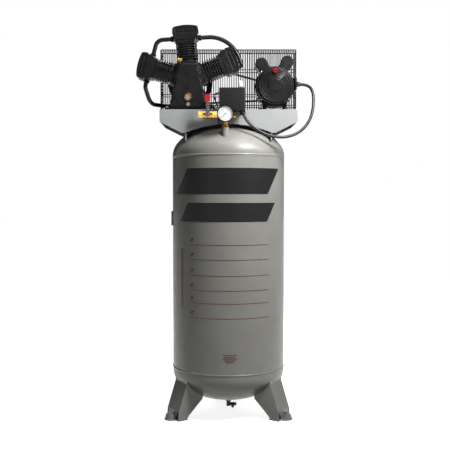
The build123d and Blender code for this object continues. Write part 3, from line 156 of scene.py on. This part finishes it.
def bumped(tree, shader, layers, edge=0.0):
    """Stacks bump layers (factor, height in metres) on softened edges."""
    normal = None
    if edge > 0:
        bevel = tree.nodes.new("ShaderNodeBevel")
        bevel.samples = 4
        bevel.inputs["Radius"].default_value = edge
        normal = bevel.outputs["Normal"]
    for factor, height in layers:
        bump = tree.nodes.new("ShaderNodeBump")
        bump.inputs["Strength"].default_value = 1.0
        bump.inputs["Distance"].default_value = height
        tree.links.new(factor, bump.inputs["Height"])
        if normal:
            tree.links.new(normal, bump.inputs["Normal"])
        normal = bump.outputs["Normal"]
    if normal:
        tree.links.new(normal, shader.inputs["Normal"])


def wear(tree, base, worn, amount):
    """Mixes a worn colour in along convex edges."""
    geometry = tree.nodes.new("ShaderNodeNewGeometry")
    grain = noise(tree, 260.0, 4.0)
    edges = tree.nodes.new("ShaderNodeMath")
    edges.operation = "MULTIPLY"
    tree.links.new(geometry.outputs["Pointiness"], edges.inputs[0])
    tree.links.new(grain, edges.inputs[1])
    mask = tree.nodes.new("ShaderNodeMapRange")
    mask.inputs["From Min"].default_value = 0.30
    mask.inputs["From Max"].default_value = 0.42
    mask.inputs["To Max"].default_value = amount
    tree.links.new(edges.outputs[0], mask.inputs["Value"])
    mix = tree.nodes.new("ShaderNodeMix")
    mix.data_type = "RGBA"
    tree.links.new(mask.outputs["Result"], mix.inputs["Factor"])
    tree.links.new(base, mix.inputs["A"])
    mix.inputs["B"].default_value = (*worn, 1)
    return mix.outputs["Result"]


def paint(
    name, colour, rough=0.4, mottle=0.08, peel=0.00006, cast=0.0, coat=0.0, worn=None, gloss=0.5, edge=0.0012
):
    """Painted metal: mottled colour, orange peel, optional cast grain and worn edges."""
    mat, tree, shader = new_material(name)
    dark = tuple(c * (1 - mottle) for c in colour)
    light = tuple(min(1.0, c * (1 + mottle)) for c in colour)
    base = ramp(tree, noise(tree, 9.0, 5.0, 0.6), ((0.3, dark), (0.7, light)))
    if worn:
        base = wear(tree, base, worn, 0.5)
    tree.links.new(base, shader.inputs["Base Color"])
    sheen = scaled(tree, noise(tree, 30.0, 4.0), rough * 0.82, rough * 1.2)
    tree.links.new(sheen, shader.inputs["Roughness"])
    layers = [(noise(tree, 420.0, 2.0), peel)]
    if cast > 0:
        layers.append((noise(tree, 900.0, 3.0, 0.65), cast))
        layers.append((noise(tree, 120.0, 3.0, 0.6), cast * 1.6))
    bumped(tree, shader, layers, edge)
    shader.inputs["Coat Weight"].default_value = coat
    shader.inputs["Coat Roughness"].default_value = 0.15
    shader.inputs["Specular IOR Level"].default_value = gloss
    return mat


def metal(name, colour, rough=0.3, tint=0.12, brush=None, tarnish=None, grain=0.00002, edge=0.0008):
    """Bare metal: tinted patches, machining or casting grain."""
    mat, tree, shader = new_material(name)
    dark = tarnish or tuple(c * (1 - tint) for c in colour)
    light = tuple(min(1.0, c * (1 + tint * 0.5)) for c in colour)
    base = ramp(tree, noise(tree, 45.0, 5.0, 0.65), ((0.25, dark), (0.55, colour), (0.8, light)))
    tree.links.new(base, shader.inputs["Base Color"])
    shader.inputs["Metallic"].default_value = 1.0
    sheen = scaled(tree, noise(tree, 160.0, 3.0), rough * 0.75, rough * 1.3)
    tree.links.new(sheen, shader.inputs["Roughness"])
    layers = [(noise(tree, 1400.0, 2.0, 0.6, brush), grain), (noise(tree, 90.0, 3.0), grain * 2)]
    bumped(tree, shader, layers, edge)
    return mat


def plastic(name, colour, rough=0.45, grain=0.00004, scale=1500.0, gloss=0.5, edge=0.0008, mottle=0.06):
    """Moulded plastic or rubber with a fine grain."""
    mat, tree, shader = new_material(name)
    dark = tuple(c * (1 - mottle) for c in colour)
    light = tuple(min(1.0, c * (1 + mottle)) for c in colour)
    base = ramp(tree, noise(tree, 60.0, 4.0), ((0.3, dark), (0.7, light)))
    tree.links.new(base, shader.inputs["Base Color"])
    sheen = scaled(tree, noise(tree, 90.0, 3.0), rough * 0.85, rough * 1.15)
    tree.links.new(sheen, shader.inputs["Roughness"])
    bumped(tree, shader, [(noise(tree, scale, 2.0, 0.6), grain)], edge)
    shader.inputs["Specular IOR Level"].default_value = gloss
    return mat


def clear(name, colour, rough=0.03, alpha=0.18):
    """Thin clear cover with faint smears."""
    mat, tree, shader = new_material(name)
    light = tuple(min(1.0, c * 1.05) for c in colour)
    base = ramp(tree, noise(tree, 50.0, 3.0), ((0.3, colour), (0.7, light)))
    tree.links.new(base, shader.inputs["Base Color"])
    tree.links.new(scaled(tree, noise(tree, 70.0, 4.0), rough, rough * 3), shader.inputs["Roughness"])
    shader.inputs["Alpha"].default_value = alpha
    shader.inputs["Specular IOR Level"].default_value = 0.8
    return mat


def laminated(name, colour):
    """Stacked core sheets: fine bands along the shaft."""
    mat, tree, shader = new_material(name)
    wave = tree.nodes.new("ShaderNodeTexWave")
    wave.bands_direction = "Y"
    wave.inputs["Scale"].default_value = 300.0
    wave.inputs["Distortion"].default_value = 0.3
    tree.links.new(position(tree), wave.inputs["Vector"])
    base = ramp(tree, wave.outputs["Fac"], ((0.2, tuple(c * 0.6 for c in colour)), (0.8, colour)))
    tree.links.new(base, shader.inputs["Base Color"])
    shader.inputs["Metallic"].default_value = 0.9
    shader.inputs["Roughness"].default_value = 0.45
    bumped(tree, shader, [(wave.outputs["Fac"], 0.0001)])
    return mat


MATERIALS = {
    "tank_paint": paint("tank_paint", (0.28, 0.275, 0.25), rough=0.4, mottle=0.07, peel=0.00012, coat=0.15),
    "deck_paint": paint("deck_paint", (0.36, 0.37, 0.37), rough=0.4, mottle=0.06, peel=0.0001, coat=0.15),
    "black_paint": paint(
        "black_paint", (0.006, 0.006, 0.0065), rough=0.33, mottle=0.25, worn=(0.02, 0.02, 0.02), gloss=0.3
    ),
    "black_iron": paint(
        "black_iron",
        (0.006, 0.006, 0.0065),
        rough=0.36,
        mottle=0.25,
        cast=0.00018,
        worn=(0.022, 0.022, 0.022),
        gloss=0.32,
    ),
    "steel": metal("steel", (0.56, 0.56, 0.55), rough=0.28, brush=(1, 20, 1)),
    "core_steel": laminated("core_steel", (0.4, 0.38, 0.36)),
    "zinc": metal("zinc", (0.66, 0.67, 0.66), rough=0.32, tint=0.2),
    "brass": metal("brass", (0.66, 0.39, 0.10), rough=0.26, tarnish=(0.30, 0.15, 0.04), grain=0.00006),
    "alloy": metal("alloy", (0.72, 0.72, 0.73), rough=0.35),
    "black_plastic": plastic("black_plastic", (0.008, 0.008, 0.009), rough=0.42, grain=0.00008, gloss=0.35),
    "white_plastic": plastic("white_plastic", (0.8, 0.8, 0.78), rough=0.3, grain=0.00002),
    "red_vinyl": plastic("red_vinyl", (0.42, 0.008, 0.014), rough=0.38, grain=0.00006, scale=900.0),
    "red_button": plastic("red_button", (0.2, 0.006, 0.008), rough=0.25, grain=0.00002),
    "rubber": plastic("rubber", (0.01, 0.01, 0.01), rough=0.62, grain=0.0001, scale=1100.0, gloss=0.3),
    "dial": plastic("dial", (0.86, 0.87, 0.85), rough=0.4, grain=0.00001),
    "glass": clear("glass", (0.92, 0.95, 0.95)),
    "cable": plastic("cable", (0.008, 0.008, 0.009), rough=0.34, grain=0.00005, scale=700.0, gloss=0.45),
    "label_black": plastic(
        "label_black", (0.01, 0.01, 0.011), rough=0.42, grain=0.00001, scale=400.0, gloss=0.3, edge=0.0
    ),
    "label_red": plastic("label_red", (0.22, 0.03, 0.022), rough=0.3, grain=0.00001, gloss=0.4, edge=0.0),
}

SLOTS = {entry["node"]: entry["material_slot"] for entry in frame["record"]["subparts"]}


def dress_nodes():
    """Gives every CAD node the material of its record slot."""
    for name, obj in NODES.items():
        obj.data.materials.clear()
        obj.data.materials.append(MATERIALS[SLOTS[name]])


# ---------------------------------------------------------------- mesh helpers
def piece(name, mesh, body, slot, look=None, smooth=True):
    """Puts a mesh in the scene as a named piece on a body, finished as a slot or its own look."""
    obj = bpy.data.objects.new(name, mesh)
    bpy.context.scene.collection.objects.link(obj)
    mesh.materials.append(MATERIALS[look or slot])
    if smooth:
        for face in mesh.polygons:
            face.use_smooth = True
        mesh.set_sharp_from_angle(angle=radians(35))
    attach(obj, body)
    return obj


def finished(bm, name):
    """Mesh from a bmesh with tidy normals."""
    bmesh.ops.recalc_face_normals(bm, faces=bm.faces)
    mesh = bpy.data.meshes.new(name)
    bm.to_mesh(mesh)
    bm.free()
    return mesh


def rod(bm, start, end, radius, sides=8):
    """Adds a round rod between two points."""
    start = Vector(start)
    end = Vector(end)
    along = end - start
    turn = along.to_track_quat("Z", "Y").to_matrix().to_4x4()
    place = Matrix.Translation((start + end) / 2) @ turn
    bmesh.ops.create_cone(
        bm, cap_ends=True, segments=sides, radius1=radius, radius2=radius, depth=along.length, matrix=place
    )


def lathe(bm, profile, place, steps=48):
    """Revolves (radius, height) points round the Z axis of a placement matrix."""
    rings = []
    for radius, height in profile:
        if radius < 1e-6:
            rings.append([bm.verts.new(place @ Vector((0, 0, height)))])
            continue
        ring = []
        for n in range(steps):
            a = 2 * pi * n / steps
            ring.append(bm.verts.new(place @ Vector((radius * cos(a), radius * sin(a), height))))
        rings.append(ring)
    for low, high in zip(rings, rings[1:]):
        for n in range(steps):
            m = (n + 1) % steps
            corners = [low[n % len(low)], low[m % len(low)], high[m % len(high)], high[n % len(high)]]
            unique = list(dict.fromkeys(corners))
            if len(unique) > 2:
                bm.faces.new(unique)


def softened(node, width):
    """Copy of a CAD node with rounded edges, standing for it."""
    source = NODES[node]
    bm = bmesh.new()
    bm.from_mesh(source.data)
    bmesh.ops.remove_doubles(bm, verts=bm.verts, dist=1e-6)
    bmesh.ops.dissolve_limit(
        bm, angle_limit=radians(1.0), verts=bm.verts, edges=bm.edges, use_dissolve_boundaries=False
    )
    mesh = finished(bm, node + "_soft")
    obj = piece(node + "_cast", mesh, source["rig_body"], SLOTS[node])
    mod = obj.modifiers.new("round", "BEVEL")
    mod.width = width
    mod.segments = 2
    mod.limit_method = "ANGLE"
    mod.angle_limit = radians(30)
    mod.use_clamp_overlap = True
    mod.harden_normals = False
    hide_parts(node)


# ---------------------------------------------------------------- camera, floor, light
CAM_PLACE = Vector((-0.0155, -3.695, 0.991))  # metres
CAM_PITCH = 0.0359  # radians below level
CAM_FOCAL = 64.4  # millimetres on a 36 mm sensor
FLOOR_HALF = 30
FLOOR_GAP = 0.0005
FLOOR_HALF = 30
# name, place, aim, size in metres, power in watts
SOFTBOXES = (
    ("key", (0.85, -1.05, 2.2), (0.1, -0.2, 1.4), (0.5, 0.5), 44),
    ("top", (0.1, -0.5, 3.0), (0, 0, 1.3), (1.4, 1.4), 20),
    ("side", (1.6, -0.8, 1.9), (0, 0, 1.45), (0.5, 0.6), 7),
    ("fill", (-1.6, -2.4, 1.6), (0, 0, 1.0), (1.2, 1.2), 3),
    ("rear", (0.3, 3.2, 2.2), (0, 0, 1.1), (1.6, 1.6), 40),
    ("rim", (-2.2, 1.4, 2.2), (0, 0, 1.2), (0.6, 1.8), 4),
)


def camera():
    """Camera at the reference angle, looking along +Y and slightly down."""
    scene = bpy.context.scene
    data = bpy.data.cameras.new("camera")
    data.lens = CAM_FOCAL
    data.sensor_width = 36.0
    cam = bpy.data.objects.new("camera", data)
    cam.location = CAM_PLACE
    cam.rotation_euler = (pi / 2 - CAM_PITCH, 0, 0)
    scene.collection.objects.link(cam)
    scene.camera = cam


def floor_material():
    """Pale matt floor that glows full white far away and a little less under the object, a painted shade
    round its foot.
    """
    mat, tree, shader = new_material("floor")
    tone = ramp(tree, noise(tree, 0.8, 3.0), ((0.3, (0.93, 0.93, 0.93)), (0.7, (0.96, 0.96, 0.96))))
    tree.links.new(tone, shader.inputs["Base Color"])
    shader.inputs["Roughness"].default_value = 0.9
    shader.inputs["Emission Color"].default_value = (1, 1, 1, 1)
    spread = tree.nodes.new("ShaderNodeTexGradient")
    spread.gradient_type = "SPHERICAL"
    tree.links.new(position(tree), spread.inputs["Vector"])
    # glow strength falls from full white far away to 0.84 near the object: painted shade round the object's
    # foot
    glow_with_painted_shade = tree.nodes.new("ShaderNodeMapRange")
    glow_with_painted_shade.inputs["From Min"].default_value = 0.05
    glow_with_painted_shade.inputs["From Max"].default_value = 0.6
    glow_with_painted_shade.inputs["To Min"].default_value = 1.0
    glow_with_painted_shade.inputs["To Max"].default_value = 0.84
    tree.links.new(spread.outputs["Fac"], glow_with_painted_shade.inputs["Value"])
    tree.links.new(glow_with_painted_shade.outputs["Result"], shader.inputs["Emission Strength"])
    return mat


def floor():
    """Pale floor just under the feet, which throws no light back up."""
    bm = bmesh.new()
    bmesh.ops.create_grid(bm, x_segments=2, y_segments=2, size=FLOOR_HALF)
    mesh = finished(bm, "floor")
    obj = bpy.data.objects.new("floor", mesh)
    obj.location = (0, 0, CAD_BOX[0][2] - FLOOR_GAP)
    bpy.context.scene.collection.objects.link(obj)
    mesh.materials.append(floor_material())
    obj.visible_diffuse = False


def room():
    """White room that is only seen: the lamps do the lighting."""
    world = bpy.data.worlds.new("studio")
    bpy.context.scene.world = world
    world.use_nodes = True
    world.node_tree.nodes["Background"].inputs["Color"].default_value = (1, 1, 1, 1)
    world.cycles_visibility.diffuse = False
    world.cycles_visibility.glossy = False


def lamps():
    """Soft area lamps, hidden from the camera."""
    for name, place, aim, size, power in SOFTBOXES:
        data = bpy.data.lights.new(name, "AREA")
        data.shape = "RECTANGLE"
        data.size = size[0]
        data.size_y = size[1]
        data.energy = power
        lamp = bpy.data.objects.new(name, data)
        lamp.location = place
        lamp.rotation_euler = (Vector(aim) - Vector(place)).to_track_quat("-Z", "Y").to_euler()
        lamp.visible_camera = False
        bpy.context.scene.collection.objects.link(lamp)


def stage():
    """Camera, pale floor, white room and soft light."""
    camera()
    floor()
    room()
    lamps()
    bpy.context.scene.view_settings.view_transform = "Standard"


# ---------------------------------------------------------------- belt guard
WIRE_R = 0.0015
ROD_R = 0.003
BARS = 58
SIDE_RODS = 20
RAIL_SHARES = (0.13, 0.30, 0.69)
CRANK_HOLE_R = 0.044
MOTOR_HOLE_R = 0.028
RING_STEPS = 40


def wire_panel(name, y, node, holes):
    """Upright wire panel with a rod frame, long rails and round shaft openings."""
    bm = bmesh.new()
    left = GUARD_LOW.x + ROD_R
    right = GUARD_HIGH.x - ROD_R
    low = GUARD_LOW.z + ROD_R
    high = GUARD_HIGH.z - ROD_R
    for z in (low, high):
        rod(bm, (left, y, z), (right, y, z), ROD_R, 10)
    for x in (left, right):
        rod(bm, (x, y, low), (x, y, high), ROD_R, 10)
    for share in RAIL_SHARES:
        z = low + (high - low) * share
        spans = [(left, right)]
        for hx, hz, hr in holes:
            if abs(z - hz) < hr:
                half = sqrt(hr**2 - (z - hz) ** 2)
                spans = [s for a, b in spans for s in ((a, hx - half), (hx + half, b)) if s[1] > s[0]]
        for a, b in spans:
            rod(bm, (a, y - 2 * WIRE_R, z), (b, y - 2 * WIRE_R, z), WIRE_R * 1.2)
    for n in range(1, BARS + 1):
        x = left + (right - left) * n / (BARS + 1)
        spans = [(low, high)]
        for hx, hz, hr in holes:
            if abs(x - hx) < hr:
                half = sqrt(hr**2 - (x - hx) ** 2)
                spans = [s for a, b in spans for s in ((a, hz - half), (hz + half, b)) if s[1] > s[0]]
        for a, b in spans:
            rod(bm, (x, y, a), (x, y, b), WIRE_R)
    for hx, hz, hr in holes:
        for n in range(RING_STEPS):
            a = 2 * pi * n / RING_STEPS
            b = 2 * pi * (n + 1) / RING_STEPS
            start = (hx + hr * cos(a), y, hz + hr * sin(a))
            end = (hx + hr * cos(b), y, hz + hr * sin(b))
            rod(bm, start, end, WIRE_R * 1.3)
    obj = piece(name, finished(bm, name), ROOT, "black_paint")
    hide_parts(node)


def guard():
    """Wire cage round belt and pulleys: two panels and a wrapped rim."""
    front_y = GUARD_FRONT_Y
    back_y = GUARD_BACK_Y
    holes = ((CRANK_X, CRANK_Z, CRANK_HOLE_R), (MOTOR.x, MOTOR.z, MOTOR_HOLE_R))
    wire_panel("guard_front_wires", front_y - ROD_R, "guard_front", holes)
    wire_panel("guard_back_wires", back_y, "guard_back", ())
    bm = bmesh.new()
    left = GUARD_LOW.x + ROD_R
    right = GUARD_HIGH.x - ROD_R
    low = GUARD_LOW.z + ROD_R
    high = GUARD_HIGH.z - ROD_R
    for n in range(1, BARS + 1):
        x = left + (right - left) * n / (BARS + 1)
        rod(bm, (x, front_y, high), (x, back_y, high), WIRE_R)
    for x in (left, right):
        for n in range(1, SIDE_RODS + 1):
            z = low + (high - low) * n / (SIDE_RODS + 1)
            rod(bm, (x, front_y, z), (x, back_y, z), WIRE_R)
    # one long wire halfway round the rim
    middle_y = front_y + (back_y - front_y) / 2
    rod(bm, (left, middle_y, high), (right, middle_y, high), WIRE_R)
    for x in (left, right):
        rod(bm, (x, middle_y, low), (x, middle_y, high), WIRE_R)
    # thicker rods along the deck
    for x in (left, right):
        rod(bm, (x, front_y, low), (x, back_y, low), ROD_R, 10)
    obj = piece("guard_rim_wires", finished(bm, "guard_rim_wires"), ROOT, "black_paint")
    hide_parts("guard_rim")


# ---------------------------------------------------------------- tank
TOP_FLANGE = 0.011
BOTTOM_FLANGE = 0.020
WALL = 0.004
HEAD_STEPS = 40
ROUND = 160


def tank():
    """Smooth lathed heads in place of the tessellated ones."""
    head_low, head_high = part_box("tank_top_head")
    tail_low, tail_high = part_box("tank_bottom_head")
    bead = head_high.y - TANK_R

    def head(name, seam, tip, node):
        way = 1 if tip > seam else -1
        flange = TOP_FLANGE if way > 0 else BOTTOM_FLANGE
        tangent = seam + way * flange
        depth = abs(tip - tangent)
        profile = [(TANK_R, seam)]
        # weld bead, a low crown over the seam
        for n in range(9):
            t = n / 8
            profile.append((TANK_R + bead * sin(pi * t), seam + way * 0.009 * t))
        profile.append((TANK_R, tangent))
        for n in range(1, HEAD_STEPS + 1):
            a = pi / 2 * n / HEAD_STEPS
            profile.append((TANK_R * cos(a), tangent + way * depth * sin(a)))
        bm = bmesh.new()
        lathe(bm, profile, Matrix.Identity(4), ROUND)
        obj = piece(name, finished(bm, name), ROOT, "tank_paint")
        thick = obj.modifiers.new("wall", "SOLIDIFY")
        thick.thickness = WALL
        thick.offset = -1
        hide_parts(node)

    head("top_head_skin", head_low.z, head_high.z, "tank_top_head")
    head("bottom_head_skin", tail_high.z, tail_low.z, "tank_bottom_head")


def patch(name, x0, x1, z0, z1, slot, look, slant=0.0, lift=0.0009):
    """Thin curved label on the shell between two sideways positions and two heights."""
    steps = 48
    rows = 8
    bm = bmesh.new()
    grid = []
    for j in range(rows + 1):
        v = j / rows
        line = []
        for i in range(steps + 1):
            u = i / steps
            x = x0 + (x1 - x0) * u + slant * (v - 0.5)
            a = asin(max(-0.98, min(0.98, x / TANK_R)))
            r = TANK_R + lift
            line.append(bm.verts.new((r * sin(a), -r * cos(a), z0 + (z1 - z0) * v)))
        grid.append(line)
    for j in range(rows):
        for i in range(steps):
            bm.faces.new((grid[j][i], grid[j][i + 1], grid[j + 1][i + 1], grid[j + 1][i]))
    mesh = finished(bm, name)
    return piece(name, mesh, ROOT, slot, look)


RULES = (0.780, 0.716, 0.647, 0.583, 0.527, 0.463)
NOTE_LINES = ((0.306, 0.030), (0.298, 0.024), (0.290, 0.031), (0.282, 0.026), (0.274, 0.018))


def labels():
    """Plain bands and rules where the receiver carries printing; no lettering."""
    patch("band_upper", -0.205, 0.195, 1.000, 1.112, "black_paint", "label_black", slant=0.05)
    patch("band_lower", -0.195, 0.185, 0.880, 0.962, "black_paint", "label_black", slant=0.036)
    for n, z in enumerate(RULES):
        patch("rule_" + str(n), -0.165, 0.175, z - 0.001, z + 0.001, "red_vinyl", "label_red")
        patch("mark_" + str(n), -0.165, -0.153, z + 0.016, z + 0.028, "red_vinyl", "label_red", slant=0.006)
    patch("side_rule", -0.209, -0.201, 0.500, 0.760, "red_vinyl", "label_red")
    for n, (z, half) in enumerate(NOTE_LINES):
        patch("note_" + str(n), 0.005 - half, 0.005 + half, z - 0.0017, z + 0.0017, "red_vinyl", "label_red")


# ---------------------------------------------------------------- cable
CABLE_D = 0.013
CABLE_ROUTE = (
    (0.308, -0.105, 1.486),
    (0.344, -0.105, 1.486),
    (0.371, -0.118, 1.463),
    (0.376, -0.136, 1.405),
    (0.362, -0.156, 1.330),
    (0.318, -0.174, 1.272),
    (0.252, -0.190, 1.244),
    (0.176, -0.201, 1.250),
    (0.112, -0.204, 1.284),
    (0.072, -0.204, 1.322),
    (0.057, -0.204, 1.360),
)


def cable():
    """Motor cable from the terminal box to the pressure switch."""
    data = bpy.data.curves.new("motor_cable_run", "CURVE")
    data.dimensions = "3D"
    spline = data.splines.new("NURBS")
    spline.points.add(len(CABLE_ROUTE) - 1)
    for point, place in zip(spline.points, CABLE_ROUTE):
        point.co = (*place, 1)
    spline.order_u = 3
    spline.use_endpoint_u = True
    spline.resolution_u = 16
    data.bevel_depth = CABLE_D / 2
    data.bevel_resolution = 6
    data.use_fill_caps = True
    data.materials.append(MATERIALS["cable"])
    obj = bpy.data.objects.new("motor_cable_run", data)
    bpy.context.scene.collection.objects.link(obj)
    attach(obj, ROOT)
    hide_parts("motor_cable")


# ---------------------------------------------------------------- small parts
TICKS = 28
TICK_LIFT = 0.0021
# radius, thickness and height of each raised ring
BELL_RINGS = (
    (0.0695, 0.0022, 0.0),
    (0.0600, 0.0016, 0.0),
    (0.0340, 0.0018, 0.0),
    (0.0800, 0.0020, -0.007),
)
LUG_CIRCLE_R = 0.0845
VANES = 48


def dial_marks():
    """Scale ticks on the gauge dial, every third one longer."""
    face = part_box("gauge_dial")[0].y + TICK_LIFT
    bm = bmesh.new()
    for n in range(TICKS):
        a = radians(225 - 270 * n / (TICKS - 1))
        inner = 0.0225 if n % 3 == 0 else 0.0255
        half = 0.0006 if n % 3 == 0 else 0.0003
        outer = 0.029
        side = Vector((-sin(a), 0, cos(a))) * half
        along = Vector((cos(a), 0, sin(a)))
        centre_point = Vector((GAUGE.x, face, GAUGE.z))
        corners = [centre_point + along * inner - side, centre_point + along * outer - side]
        corners += [centre_point + along * outer + side, centre_point + along * inner + side]
        bm.faces.new([bm.verts.new(c) for c in corners])
    piece("dial_ticks", finished(bm, "dial_ticks"), ROOT, "black_plastic", smooth=False)


def motor_details():
    """Raised rings, vanes, lugs and through bolts on the front bell."""
    low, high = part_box("motor_bell_front")
    face = low.y + 0.006
    axis = Matrix.Translation((MOTOR.x, face, MOTOR.z)) @ Matrix.Rotation(pi / 2, 4, "X")
    bm = bmesh.new()
    for radius, tube, sunk in BELL_RINGS:
        ring = [(radius + tube * cos(a), sunk + tube * sin(a)) for a in [pi * n / 8 for n in range(9)]]
        lathe(bm, ring, axis, 96)
    piece("bell_rings", finished(bm, "bell_rings"), ROOT, "black_paint")
    lugs = bmesh.new()
    bolts = bmesh.new()
    for n in range(4):
        a = pi / 4 + pi / 2 * n
        spot = (MOTOR.x + LUG_CIRCLE_R * cos(a), high.y, MOTOR.z + LUG_CIRCLE_R * sin(a))
        place = Matrix.Translation(spot) @ Matrix.Rotation(pi / 2, 4, "X")
        lathe(lugs, ((0.0, 0.030), (0.0065, 0.030), (0.0075, 0.029), (0.0085, 0.0)), place, 24)
        head = ((0.0, 0.0352), (0.0036, 0.0350), (0.0046, 0.0342), (0.0048, 0.0300))
        lathe(bolts, head, place, 6)
    vanes = bmesh.new()
    for n in range(VANES):
        a = 2 * pi * (n + 0.5) / VANES
        out = Vector((cos(a), 0, sin(a)))
        middle = Vector((MOTOR.x, 0, MOTOR.z))
        inner = middle + out * 0.0755 + Vector((0, low.y + 0.0085, 0))
        outer = middle + out * 0.0862 + Vector((0, high.y - 0.014, 0))
        rod(vanes, inner, outer, 0.0013, 6)
    piece("bell_vanes", finished(vanes, "bell_vanes"), ROOT, "black_paint")
    piece("bell_lugs", finished(lugs, "bell_lugs"), ROOT, "black_paint")
    piece("bell_bolts", finished(bolts, "bell_bolts"), ROOT, "zinc", smooth=False)


dress_nodes()
stage()
cable()
guard()
tank()
labels()
dial_marks()
motor_details()
for cast_node, radius in (
    ("cylinder_heads", 0.0035),
    ("front_cover", 0.0012),
    ("motor_bell_front", 0.0012),
    ("valve_grip", 0.003),
    ("switch_lever", 0.0048),
    ("crankcase", 0.002),
    ("switch_cover", 0.0025),
    ("capacitor_covers", 0.003),
):
    softened(cast_node, radius)
